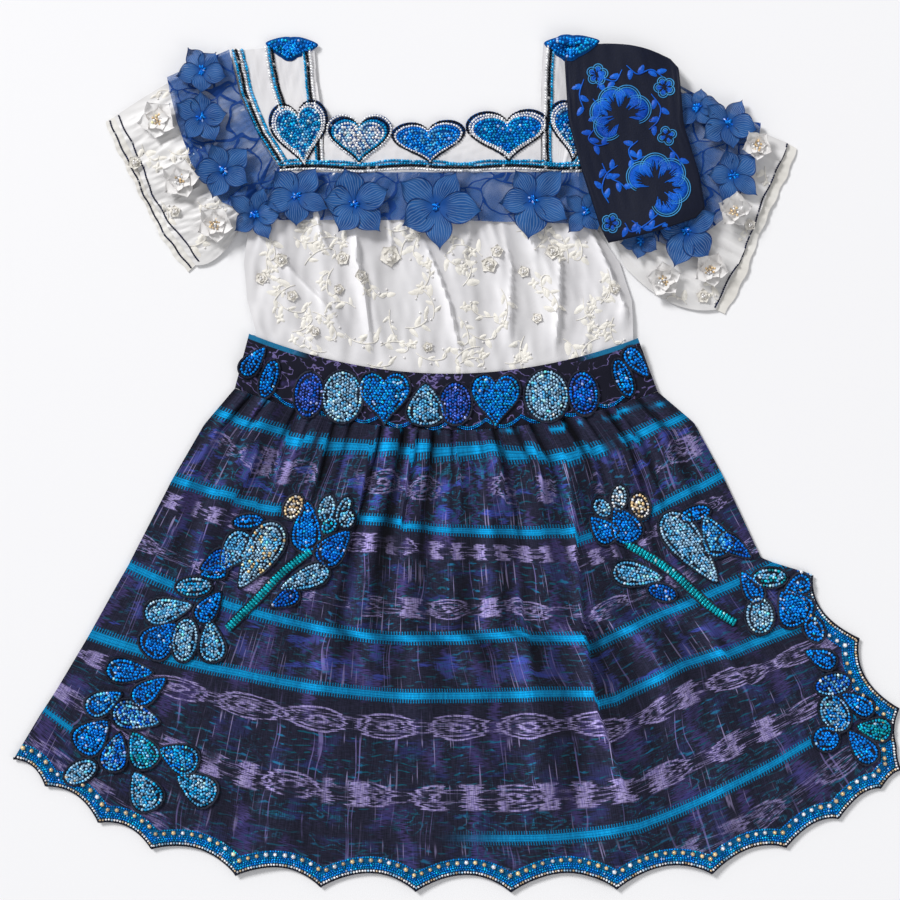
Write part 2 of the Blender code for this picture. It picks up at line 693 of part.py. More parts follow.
def build_blouse_back(cotton):
    """The back rises from its yoke's neckline down to the end that is tucked in at the waist."""
    rows = [Section("neck", -121, BACK_NECK, 77, BACK_NECK, BACK_NECK, 2.0)] + BLOUSE_SECTIONS

    def place(across, down):
        x, y = along_sections(rows, across, down)
        return x * 0.985, y

    sheet("blouse_back", cotton, place, lambda u, v: 0.0, 4, 9, BLOUSE_CLOTH,
          ["flounce_back", "waistband_back"], reach=20.0)


def build_blouse_front(cotton):
    def lift(across, down):
        tuck = smooth_step((1 - down) / 0.25)
        gathers = 1.2 * (1 - math.cos(2 * math.pi * 10 * across)) * smooth_step(1 - down / 0.35)
        return (fold_height(BLOUSE_FOLDS, across, down) * tuck + gathers) * edge_fade(across, 0.05)

    sheet("blouse_front", cotton, blouse_place, lift, BLOUSE_COLUMNS, BLOUSE_ROWS, BLOUSE_CLOTH, ["blouse_back", "waistband_back"])


def table_place(rows, first, second, gap=0.0):
    """A place function between a table's two named edges, which keeps a seam's gap from both ends."""
    shares = [row.share for row in rows]

    def place(across, down):
        start_x, start_y, end_x, end_y = blend_rows(
            rows, shares, down, f"{first}_x", f"{first}_y", f"{second}_x", f"{second}_y"
        )
        start, end = Vector((start_x, start_y)), Vector((end_x, end_y))
        step = (end - start).normalized() * gap
        return (start + step).lerp(end - step, across)

    return place


def bulged_place(rows, first, second):
    """A place function as above, whose rows bow up in the middle by their bulge."""
    straight = table_place(rows, first, second, SEAM_GAP)
    shares = [row.share for row in rows]

    def place(out, down):
        bulge = blend_rows(rows, shares, down, "bulge")[0]
        return straight(out, down) + Vector((0, bulge * 4 * out * (1 - out)))

    return place


def build_straps(cotton, table, side):
    """A strap's front lies on its back. Three ribs of beads run down the front."""
    back = [(row.outer_x, row.outer_y) for row in table] + [(row.inner_x, row.inner_y) for row in reversed(table)]
    back = [(x, max(y, BACK_NECK + SEAM_GAP)) for x, y in drawn_in(back, 0.03)]
    flat_cut(f"strap_back_{side}", cotton, back[:3] + back[-3:], BLOUSE_CLOTH)
    place = table_place(table, "outer", "inner")
    columns = [0.0]
    for rib in STRAP_RIBS:
        columns += [rib - RIB_HALF, rib, rib + RIB_HALF]
    columns.append(1.0)

    def rib_height(across, down):
        return RIB_HEIGHT * any(abs(across - rib) < RIB_HALF / 2 for rib in STRAP_RIBS)

    if side == "right":
        forward = place

        def place(across, down):
            return forward(1 - across, down)

        columns = [1 - share for share in reversed(columns)]

        def rib_height(across, down):
            return RIB_HEIGHT * any(abs(1 - across - rib) < RIB_HALF / 2 for rib in STRAP_RIBS)

    sheet(f"strap_front_{side}", cotton, place, lambda u, v: 0.0, columns, 3, BLOUSE_CLOTH,
          [f"strap_back_{side}", "blouse_back"], extra=rib_height)


def build_bib(cotton):
    left = max(row.inner_x for row in LEFT_STRAP) + SEAM_GAP
    right = min(row.inner_x for row in RIGHT_STRAP) - SEAM_GAP

    def place(across, down):
        top = blend_rows(BIB_TOP, [row.share for row in BIB_TOP], across, "top_y")[0]
        return left + across * (right - left), top + down * (BIB_BOTTOM - top)

    sheet("bib_front", cotton, place, lambda u, v: 0.0, 8, 1, BLOUSE_CLOTH, ["blouse_back"], reach=20.0)


def build_sleeve(voile, table, side):
    """A short full sleeve laid flat: its back on the surface, and its front puffed up over it."""
    outward = bulged_place(table, "seam", "cuff")
    shares = [row.share for row in table]
    mirror = side == "left"

    def place(across, down):
        return outward(1 - across if mirror else across, down)

    def lift(across, down):
        out = 1 - across if mirror else across
        puff = SLEEVE_PUFF * math.sin(math.pi * down) ** 0.7 * math.sin(math.pi * (0.12 + 0.8 * out))
        waves = 1.5 * math.sin(2 * math.pi * SLEEVE_WAVES * down) * out * math.sin(math.pi * down)
        return max(puff + waves, 0.0)

    def back_place(across, down):
        return place(0.02 + 0.96 * across, 0.02 + 0.96 * down)

    def cuff_place(across, down):
        seam_x, seam_y, cuff_x, cuff_y = blend_rows(
            table, shares, down, "seam_x", "seam_y", "cuff_x", "cuff_y"
        )
        outward_step = (Vector((cuff_x, cuff_y)) - Vector((seam_x, seam_y))).normalized()
        out = 1 - across if mirror else across
        wave = 1.6 * math.sin(2 * math.pi * 1.5 * down)
        return Vector((cuff_x, cuff_y)) + outward_step * (out * (CUFF_DEPTH + wave))

    def cuff_lift(across, down):
        return lift(0.0 if mirror else 1.0, down) * 0.7

    sheet(f"sleeve_back_{side}", voile, back_place, lambda u, v: 0.0, 4, 5, BLOUSE_CLOTH, [f"flounce_back_{side}"], reach=14.0)
    sheet(f"sleeve_front_{side}", voile, place, lift, 6, 12, BLOUSE_CLOTH, [f"sleeve_back_{side}", "blouse_back"])
    sheet(f"cuff_{side}", voile, cuff_place, cuff_lift, 1, 12, BLOUSE_CLOTH)


def flounce_place(table, mirror):
    outward = bulged_place(table, "sewn", "free")

    def place(across, down):
        return outward(down, 1 - across if mirror else across)

    return place


def build_flounce_backs(organza):
    for side, table in (("back_left", LEFT_FLOUNCE), ("back", FRONT_FLOUNCE), ("back_right", RIGHT_FLOUNCE)):
        sewn = [(row.sewn_x, row.sewn_y) for row in table]
        free = [(row.free_x, row.free_y) for row in reversed(table)]
        flat_cut(f"flounce_{side}", organza, drawn_in(sewn + free, 0.04), ORGANZA)


def build_flounces(organza):
    lies_on = ["blouse_front", "sleeve_front_left", "sleeve_front_right", "strap_front_left", "strap_front_right"]
    waves = {"left": 4, "front": 6, "right": 5}
    tables = {"left": LEFT_FLOUNCE, "front": FRONT_FLOUNCE, "right": RIGHT_FLOUNCE}
    for side, table in tables.items():

        def lift(across, down, count=waves[side]):
            return FLOUNCE_WAVE * down * (0.5 - 0.5 * math.cos(2 * math.pi * count * across)) * edge_fade(across, 0.04)

        columns = waves[side] * 4 if side != "front" else 24
        place = flounce_place(table, side == "left")
        if side == "right":
            forward = place

            def place(across, down, forward=forward):
                return forward(1 - across, down)

        sheet(f"flounce_{side}", organza, place, lift, columns, 2, ORGANZA, lies_on)


def build_trim(cord):
    """The row of bead cords that covers the seam between the bib and the flounce."""
    start, end = LEFT_STRAP[-1].outer_x - 1, RIGHT_STRAP[-1].outer_x + 7

    def place(across, down):
        wave = 1.2 * math.sin(2 * math.pi * 3 * across)
        return start + across * (end - start), TRIM_HIGH + wave + down * (TRIM_LOW - TRIM_HIGH)

    def crown(across, down):
        return 1.0 if 0.1 < down < 0.9 else 0.0

    sheet("neck_trim", cord, place, lambda u, v: 0.0, 18, 2, 1.2,
          ["bib_front", "flounce_front", "flounce_left", "strap_front_left", "strap_front_right", "blouse_front"],
          extra=crown)


def build_sash(satin):
    """A long sash folded into a bundle: its hidden layers are one solid, with notches at the edges."""
    place = bulged_place(SASH, "left", "right")
    below = [obj.name for obj in parts.objects]
    surface = surface_of(below)
    mesh_data = bmesh.new()
    columns, rows = 4, 7
    bmesh.ops.create_grid(mesh_data, x_segments=columns, y_segments=rows, size=0.5)
    for vert in mesh_data.verts:
        x, y = place(vert.co.x + 0.5, 0.5 - vert.co.y)
        vert.co = Vector((x * MM, y * MM, lying_on(surface, x, y, 12.0) * MM))
    clear_of(mesh_data, below)
    middle = sum((vert.co for vert in mesh_data.verts), Vector()) / len(mesh_data.verts)
    underside = mesh_data.faces[:]
    top = underside
    for layer in range(SASH_LAYERS):
        for size in (1 / SASH_NOTCH if layer else 1.0, SASH_NOTCH):
            made = bmesh.ops.extrude_face_region(mesh_data, geom=top)
            if top != underside:
                bmesh.ops.delete(mesh_data, geom=top, context="FACES_KEEP_BOUNDARY")
            top = [item for item in made["geom"] if isinstance(item, bmesh.types.BMFace)]
            for vert in {vert for face in top for vert in face.verts}:
                vert.co.x = middle.x + (vert.co.x - middle.x) * size
                vert.co.y = middle.y + (vert.co.y - middle.y) * size
                vert.co.z += SASH_LAYER * MM / 2
    return keep("sash", mesh_data, satin)


def main():
    clear_scene()
    corte = cloth("corte_cotton", (0.035, 0.03, 0.06), 0.8)
    white = cloth("white_satin", (0.86, 0.85, 0.85), 0.45)
    voile = cloth("white_voile", (0.88, 0.87, 0.86), 0.5)
    organza = cloth("blue_organza", (0.09, 0.16, 0.45), 0.4)
    beads = cloth("blue_beads", (0.02, 0.2, 0.55), 0.25)
    satin = cloth("black_satin", (0.01, 0.012, 0.03), 0.6)

    build_skirt(corte)
    build_waistband_back(corte)
    build_flounce_backs(organza)
    build_blouse_back(white)
    build_blouse_front(white)
    build_straps(white, LEFT_STRAP, "left")
    build_straps(white, RIGHT_STRAP, "right")
    build_bib(white)
    build_sleeve(voile, LEFT_SLEEVE, "left")
    build_sleeve(voile, RIGHT_SLEEVE, "right")
    build_flounces(organza)
    build_trim(beads)
    beadwork("neck_hearts", beads, NECK_HEARTS, ["bib_front", "strap_front_left", "strap_front_right", "neck_trim"])
    build_waistband_front(corte)
    for name, pads in (("band_beads_left", BAND_LEFT), ("band_beads_middle", BAND_MIDDLE), ("band_beads_right", BAND_RIGHT)):
        beadwork(name, beads, pads, ["waistband_front", "skirt_front"])
    for name, pads in (
        ("left_blossom_spray", LEFT_BLOSSOM_SPRAY),
        ("left_leaf_spray", LEFT_LEAF_SPRAY),
        ("right_blossom_spray", RIGHT_BLOSSOM_SPRAY),
        ("right_leaf_spray", RIGHT_LEAF_SPRAY),
    ):
        beadwork(name, beads, pads, ["skirt_front"])
    for number, flower in enumerate(ORGANZA_BLOSSOMS):
        blossom(f"blossom_{number + 1}", organza, flower, 2)
    for number, flower in enumerate(LACE_BLOSSOMS):
        blossom(f"lace_blossom_{number + 1}", voile, flower, 1)
    beadwork("brooch_left", beads, LEFT_BROOCH, ["strap_front_left"])
    build_sash(satin)
    beadwork("brooch_right", beads, RIGHT_BROOCH, ["strap_front_right", "sash"])


main()
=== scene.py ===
"""A Guatemalan folk dress, laid flat on a white surface and seen from straight above."""

import math
from collections import namedtuple

import bpy
import numpy as np
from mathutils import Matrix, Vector
from mathutils.bvhtree import BVHTree


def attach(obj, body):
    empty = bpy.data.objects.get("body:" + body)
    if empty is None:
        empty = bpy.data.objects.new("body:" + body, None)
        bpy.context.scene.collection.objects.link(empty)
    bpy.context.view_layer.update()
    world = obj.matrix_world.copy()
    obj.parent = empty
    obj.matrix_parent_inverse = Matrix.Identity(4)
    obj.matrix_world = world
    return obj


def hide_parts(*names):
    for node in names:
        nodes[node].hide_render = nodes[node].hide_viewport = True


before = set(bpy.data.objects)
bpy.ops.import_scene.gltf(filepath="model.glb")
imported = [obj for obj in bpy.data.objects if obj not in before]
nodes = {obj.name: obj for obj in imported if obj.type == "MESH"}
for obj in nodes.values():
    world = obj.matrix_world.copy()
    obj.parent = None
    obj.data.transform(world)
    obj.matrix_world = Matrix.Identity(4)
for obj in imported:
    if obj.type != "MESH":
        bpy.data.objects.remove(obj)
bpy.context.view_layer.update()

# The skirt's front
# A panel of dark ikat cotton that is gathered into the waist and spreads to a scalloped hem. It is a
# thin shell over a grid of places across and down the panel, with its gathers, folds and creases.

MM = 0.001
WALL = 0.8
SKIRT_REST = 3.3
SKIRT_LENGTH = 417.0
HEM_WIDTH = 800.0

Section = namedtuple("Section", "name left_x left_y right_x right_y middle_y squareness")
SKIRT_SECTIONS = [
    Section("waist_seam", -202, 67, 179, 64, 29, 2.0),
    Section("gathers_end", -230, 34, 212, 36, -8, 2.0),
    Section("second_band", -259, -16, 238, -12, -54, 2.0),
    Section("third_band", -299, -94, 273, -87, -152, 2.1),
    Section("lobe_top", -306, -106, 319, -101, -165, 2.2),
    Section("fourth_band", -335, -158, 361, -157, -207, 2.3),
    Section("lobe_side", -363, -205, 398, -221, -270, 2.5),
    Section("fifth_band", -378, -228, 404, -250, -340, 2.7),
    Section("hem", -402, -268, 400, -278, -388, 3.2),
]
SCALLOP_TIPS = np.array([0, 3, 8, 13, 21, 29, 38, 47, 57, 66, 73, 78, 82, 84]) / 84
SIDE_TIPS = np.array([0.467, 0.569, 0.72, 1.0])
SCALLOP_DEPTH = 0.19
HEM_BORDER = 0.14
SIDE_BORDER = 0.07
GATHERS = 21
GATHER_HEIGHT = 8.4
GATHER_LENGTH = 0.18

Fold = namedtuple("Fold", "top_place low_place start end height width")
SKIRT_FOLDS = [
    Fold(0.085, 0.105, 0.00, 0.55, 4.5, 0.020),
    Fold(0.190, 0.165, 0.00, 0.50, 5.5, 0.024),
    Fold(0.300, 0.285, 0.02, 0.70, 4.5, 0.022),
    Fold(0.365, 0.350, 0.00, 0.60, 6.0, 0.019),
    Fold(0.430, 0.415, 0.00, 0.75, 4.0, 0.022),
    Fold(0.500, 0.490, 0.05, 0.65, 3.5, 0.024),
    Fold(0.575, 0.560, 0.00, 0.90, 4.5, 0.022),
    Fold(0.655, 0.650, 0.05, 1.00, 7.0, 0.026),
    Fold(0.735, 0.745, 0.02, 0.75, 4.5, 0.022),
    Fold(0.820, 0.830, 0.00, 0.60, 4.5, 0.020),
    Fold(0.910, 0.900, 0.00, 0.45, 4.0, 0.022),
    Fold(0.250, 0.270, 0.60, 1.00, 4.0, 0.022),
    Fold(0.790, 0.775, 0.60, 1.00, 4.0, 0.024),
    Fold(0.430, 0.440, 0.75, 1.00, 3.0, 0.030),
]
# The cloth's own even sections, which pass by the scallops, carry its pattern. The first three are
# the panel's.
GRAIN_SECTIONS = SKIRT_SECTIONS[:3] + [
    Section("third_band", -299, -94, 285, -87, -152, 2.1),
    Section("fourth_band", -335, -158, 340, -145, -207, 2.3),
    Section("fifth_band", -378, -228, 395, -225, -340, 2.7),
    Section("hem", -402, -268, 430, -262, -388, 3.2),
]
# How far down the pattern has slid at some heights of the panel, for shares across it.
GRAIN_SHARES = (0.0, 0.2, 0.4, 0.6, 0.7, 0.8, 0.9, 1.0)
Grain = namedtuple("Grain", "down rise")
SKIRT_GRAIN = [
    Grain(0, (0, 0, 0, 0, -4, -8, -10, -10)),
    Grain(17, (-7, -7, 0, 1, -6, -9, -9, -9)),
    Grain(82, (0, -1, 2, -10, -16, -17, -7, 2)),
    Grain(180, (1, -4, -9, -6, -17, -11, -7, -5)),
    Grain(235, (2, 3, -4, -5, -11, 6, 10, 10)),
    Grain(366, (8, 3, -1, -3, -1, 13, 24, 26)),
    Grain(417, (10, 4, 0, -2, 0, 14, 26, 30)),
]
Calm = namedtuple("Calm", "x y across down")
BEADED_AREAS = [
    Calm(-165, -85, 62, 70),
    Calm(-265, -200, 70, 110),
    Calm(180, -85, 75, 62),
    Calm(320, -160, 70, 110),
]
# A crease runs down through its points. The cloth on its left laps over the cloth on its right, and
# the pattern on its right slips down by the cloth that the lap hides.
Crease = namedtuple("Crease", "points height width slip")
SKIRT_CREASES = [
    Crease([(-152, 30), (-160, 4), (-172, -38)], 3.4, 9, 5),
    Crease([(-178, 20), (-190, -14), (-214, -52)], 3.0, 8, 4),
    Crease([(-120, 25), (-126, -8), (-132, -34)], 2.6, 7, 4),
    Crease([(-80, 22), (-84, -12), (-93, -56)], 3.2, 8, 5),
    Crease([(-43, 20), (-47, -24), (-54, -72)], 3.8, 9, 7),
    Crease([(-4, 22), (2, -12), (1, -56)], 3.0, 8, 3),
    Crease([(34, 22), (40, -16), (42, -54)], 2.8, 8, 4),
    Crease([(66, 26), (74, -10), (78, -48)], 3.0, 8, 4),
    Crease([(110, 34), (122, 0), (134, -40)], 2.6, 8, 3),
    Crease([(146, 44), (164, 8), (182, -30)], 2.8, 8, 4),
    Crease([(52, -100), (60, -150), (71, -205)], 2.4, 12, 4),
    Crease(
        [(91, 26), (98, -8), (104, -40), (108, -105), (116, -171), (126, -225), (146, -283), (163, -331)],
        6.0, 15, 10,
    ),
    Crease([(-176, -301), (-190, -318), (-204, -336)], 2.2, 6, 2),
    Crease([(220, -140), (232, -163), (256, -194), (294, -225), (308, -236)], 3.6, 11, 4),
    Crease([(-196, -330), (-184, -312), (-172, -296), (-164, -286)], 2.4, 6, 2),
]


def smooth_step(value):
    value = np.clip(value, 0.0, 1.0)
    return value * value * (3 - 2 * value)


def along_sections(rows, across, down):
    """A place on a panel: across its section, whose middle hangs below the line between its edges."""
    length = rows[0].middle_y - rows[-1].middle_y
    shares = [(rows[0].middle_y - row.middle_y) / length for row in rows]
    read = {f: np.interp(down, shares, [getattr(row, f) for row in rows]) for f in Section._fields[1:]}
    drop = (read["left_y"] + read["right_y"]) / 2 - read["middle_y"]
    x = read["left_x"] + across * (read["right_x"] - read["left_x"])
    bow = 1 - np.abs(2 * across - 1) ** read["squareness"]
    y = read["left_y"] + across * (read["right_y"] - read["left_y"]) - drop * bow
    return x, y


def scallop_pull(place, tips, tip_x, tip_y):
    """How far the arch between two tips draws an edge in: nothing at a tip and the most midway."""
    index = np.clip(np.searchsorted(tips, place, side="right") - 1, 0, len(tips) - 2)
    start, end = tips[index], tips[index + 1]
    share = np.clip((place - start) / (end - start), 0, 1)
    width = np.hypot(tip_x[index + 1] - tip_x[index], tip_y[index + 1] - tip_y[index])
    return SCALLOP_DEPTH * width * np.sin(np.pi * share) ** 0.8


def skirt_place(across, down):
    """The place on the skirt with its hem and its right side drawn into scallops."""
    x, y = along_sections(SKIRT_SECTIONS, across, down)
    in_x, in_y = along_sections(SKIRT_SECTIONS, across, np.full_like(down, 0.8))
    out_x, out_y = along_sections(SKIRT_SECTIONS, across, np.ones_like(down))
    far = np.hypot(in_x - out_x, in_y - out_y)
    tip_x, tip_y = along_sections(SKIRT_SECTIONS, SCALLOP_TIPS, np.ones_like(SCALLOP_TIPS))
    pull = scallop_pull(across, SCALLOP_TIPS, tip_x, tip_y) * smooth_step(
        (down - 1 + HEM_BORDER) / HEM_BORDER
    )
    x = x + (in_x - out_x) / far * pull
    y = y + (in_y - out_y) / far * pull
    in_x, in_y = along_sections(SKIRT_SECTIONS, np.full_like(across, 0.85), down)
    out_x, out_y = along_sections(SKIRT_SECTIONS, np.ones_like(across), down)
    far = np.hypot(in_x - out_x, in_y - out_y)
    tip_x, tip_y = along_sections(SKIRT_SECTIONS, np.ones_like(SIDE_TIPS), SIDE_TIPS)
    pull = scallop_pull(down, SIDE_TIPS, tip_x, tip_y) * smooth_step(
        (across - 1 + SIDE_BORDER) / SIDE_BORDER
    )
    pull = np.where(down > SIDE_TIPS[0], pull, 0.0)
    return x + (in_x - out_x) / far * pull, y + (in_y - out_y) / far * pull


def fold_height(folds, across, down):
    """The height of the soft ridges at a place: each is a bell across, which fades at its two ends."""
    height = np.zeros_like(across)
    for fold in folds:
        middle = fold.top_place + (fold.low_place - fold.top_place) * down
        bell = np.exp(-(((across - middle) / fold.width) ** 2))
        start = 1.0 if fold.start == 0 else smooth_step((down - fold.start) / 0.12)
        end = 0.5 if fold.end == 1 else smooth_step((fold.end - down) / 0.2)
        height += fold.height * bell * start * end
    return height


def edge_fade(across, width):
    return smooth_step(np.minimum(across, 1 - across) / width)


def beside(points, x, y):
    """Each place's signed distance to the right of a line of points, and its share of the way along."""
    best = np.full(x.shape, 1e9)
    signed = np.zeros(x.shape)
    along = np.zeros(x.shape)
    count = len(points) - 1
    for step, ((ax, ay), (bx, by)) in enumerate(zip(points, points[1:])):
        dx, dy = bx - ax, by - ay
        size = math.hypot(dx, dy)
        part = ((x - ax) * dx + (y - ay) * dy) / size**2
        near = np.clip(part, 0, 1)
        far = np.hypot(x - ax - near * dx, y - ay - near * dy)
        closer = far < best
        right = np.sign((x - ax) * -dy + (y - ay) * dx)
        best = np.where(closer, far, best)
        signed = np.where(closer, far * right, signed)
        along = np.where(closer, (step + np.clip(part, -0.5, 1.5)) / count, along)
    return signed, along


def creased(creases, x, y):
    """The height that the laps add at each place, and how far they slip the pattern down."""
    height = np.zeros(x.shape)
    slip = np.zeros(x.shape)
    for crease in creases:
        signed, along = beside(crease.points, x, y)
        within = smooth_step(along / 0.3) * smooth_step((1 - along) / 0.3)
        lap = np.where(
            signed < 0, np.exp(np.minimum(signed, 0) / crease.width), np.exp(-np.abs(signed) / 0.8)
        )
        height += crease.height * lap * within
        slip += crease.slip * (signed > 0) * np.exp(-np.abs(signed) / 60) * within
    return height, slip


def wrinkles(across, down, seed, count, length):
    """Small uneven undulations that run down the cloth: a sum of slanted waves of seeded phase."""
    chance = np.random.default_rng(seed)
    total = np.zeros(across.shape)
    for _ in range(count):
        waves = chance.uniform(6, 34)
        slant = chance.uniform(-5, 5)
        phase = chance.uniform(0, 2 * math.pi)
        place = chance.uniform(0, 1)
        window = np.exp(-(((down - place) / length) ** 2))
        total += np.sin(2 * math.pi * (waves * across + slant * down) + phase) * window / count**0.5
    return total


def skirt_rise(across, down):
    """How far the pattern has slid at each place, between the rows and the columns of its table."""
    rows = np.array([np.interp(across, GRAIN_SHARES, row.rise) for row in SKIRT_GRAIN])
    at = np.interp(down * SKIRT_LENGTH, [row.down for row in SKIRT_GRAIN], np.arange(len(SKIRT_GRAIN)))
    low = np.minimum(at.astype(int), len(SKIRT_GRAIN) - 2)
    first = np.take_along_axis(rows, low[None], 0)[0]
    second = np.take_along_axis(rows, low[None] + 1, 0)[0]
    return first + (second - first) * (at - low)


def grain_place(x, y, across, down):
    """The shares across and down of the even sections at each place, by steps of 0.8 of what is left."""
    for _ in range(40):
        even_x, even_y = along_sections(GRAIN_SECTIONS, across, down)
        shares = [(GRAIN_SECTIONS[0].middle_y - row.middle_y) / SKIRT_LENGTH for row in GRAIN_SECTIONS]
        width = np.interp(down, shares, [row.right_x - row.left_x for row in GRAIN_SECTIONS])
        across, down = across + 0.8 * (x - even_x) / width, down + 0.8 * (even_y - y) / SKIRT_LENGTH
    return across, down


def gather_turn(across):
    """Which gather each place is in: whole numbers are the troughs, which are unevenly spaced."""
    return GATHERS * (across + 0.009 * np.sin(29 * across) + 0.006 * np.sin(71 * across + 1))


def skirt_lift(across, down, x, y):
    """Gathers at the waist that fade into long folds, flat under the beadwork, with laps and wrinkles.

    A gather rises softly from its left and drops at its right: it is part round arch and part lap. Each
    has its own height and length.
    """
    turn = gather_turn(across + 0.01 * np.sin(9 * down + 13 * across))
    part = turn - np.floor(turn)
    arch = np.abs(np.sin(np.pi * turn)) ** 0.45
    lap = part**0.7 * smooth_step((1 - part) / 0.16)
    wave = (0.4 * arch + 0.6 * lap) * (0.8 + 0.2 * np.sin(2.3 * np.floor(turn)))
    length = GATHER_LENGTH * (0.6 + 1.1 * (0.5 + 0.5 * np.sin(5.3 * np.floor(turn))))
    gathers = GATHER_HEIGHT * np.exp(-down / length) * wave
    calm = np.ones_like(across)
    for area in BEADED_AREAS:
        far = ((x - area.x) / area.across) ** 2 + ((y - area.y) / area.down) ** 2
        calm = np.minimum(calm, 0.12 + 0.88 * smooth_step((far - 0.6) / 0.9))
    laps, slip = creased(SKIRT_CREASES, x, y)
    small = 0.35 * wrinkles(across, down, 4, 14, 0.3)
    folds = fold_height(SKIRT_FOLDS, across, down) + laps + small
    uneven = 0.8 + 0.2 * np.sin(17 * across + 1)
    return (gathers * uneven + folds * calm) * edge_fade(across, 0.03), slip


# These values set the painted shade in the cloth's troughs and the painted light on its ridges.
def hollows(top, reach, depth):
    """How high each place is against the mean of its row within a reach: 0 in a trough, 1 on a ridge."""
    wide = np.pad(top, ((0, 0), (reach + 1, reach)), mode="edge").cumsum(axis=1)
    mean = (wide[:, 2 * reach + 1 :] - wide[:, : -2 * reach - 1]) / (2 * reach + 1)
    return np.clip(0.5 + (top - mean) / depth, 0, 1)


def shells(name, patches, wall=WALL, shade=None, hem_far=None):
    """One mesh of closed thin shells, one for each patch: a grid of x, y, height and panel shares.

    A shell's outer face is at the patch's heights, its inner face is a wall lower, and a rim joins them.
    The painted shade, from 0 in a trough to 1 on a ridge, is kept as the fold attribute, which darkens
    the cloth's colour in its troughs and lightens it on its ridges, and so is each place's distance from
    the hem in mm.
    """
    verts, faces, places = [], [], []
    start = 0
    for x, y, top, u, v in patches:
        rows, columns = x.shape
        count = rows * columns
        upper = np.stack([x, y, top], axis=-1).reshape(-1, 3)
        verts += [upper, upper - (0, 0, wall)]
        index = start + np.arange(count).reshape(rows, columns)
        quads = np.stack(
            [index[:-1, :-1], index[1:, :-1], index[1:, 1:], index[:-1, 1:]], axis=-1
        ).reshape(-1, 4)
        ring = np.concatenate([index[0, :-1], index[:-1, -1], index[-1, :0:-1], index[:0:-1, 0]])
        after = np.roll(ring, -1)
        rim = np.stack([ring, after, after + count, ring + count], axis=-1)
        if cross(x, y) < 0:
            quads, rim = quads[:, ::-1], rim[:, ::-1]
        faces += [quads, quads[:, ::-1] + count, rim]
        places.append(np.tile(np.stack([u, v], axis=-1).reshape(-1, 2), (2, 1)))
        start += 2 * count
    faces, places = np.concatenate(faces), np.concatenate(places)
    mesh = bpy.data.meshes.new(name)
    mesh.from_pydata((np.concatenate(verts) * MM).tolist(), [], faces.tolist())
    layer = mesh.uv_layers.new(name="panel")
    layer.data.foreach_set("uv", places[faces.reshape(-1)].reshape(-1))
    # The painted shade of each place: 0 in a trough, where the colour is darkened, and 1 on a ridge, where
    # it is lightened.
    fold = mesh.attributes.new("fold", "FLOAT", "POINT")
    fold.data.foreach_set("value", np.full(start, 0.6) if shade is None else np.tile(shade.reshape(-1), 2))
    border = mesh.attributes.new("hem_far", "FLOAT", "POINT")
    border.data.foreach_set(
        "value", np.full(start, 99.0) if hem_far is None else np.tile(hem_far.reshape(-1), 2)
    )
    mesh.shade_smooth()
    mesh.set_sharp_from_angle(angle=math.radians(75))
    return link(name, mesh)


def cross(x, y):
    """Positive where a grid's rows run down and its columns run to the right, seen from above."""
    middle = (x.shape[0] // 2, x.shape[1] // 2)
    row, column = max(middle[0], 1), max(middle[1], 1)
    over = (x[row, column] - x[row, column - 1], y[row, column] - y[row, column - 1])
    down = (x[row, column] - x[row - 1, column], y[row, column] - y[row - 1, column])
    return down[0] * over[1] - down[1] * over[0]


def link(name, mesh):
    obj = bpy.data.objects.new(name, mesh)
    bpy.context.scene.collection.objects.link(obj)
    return obj


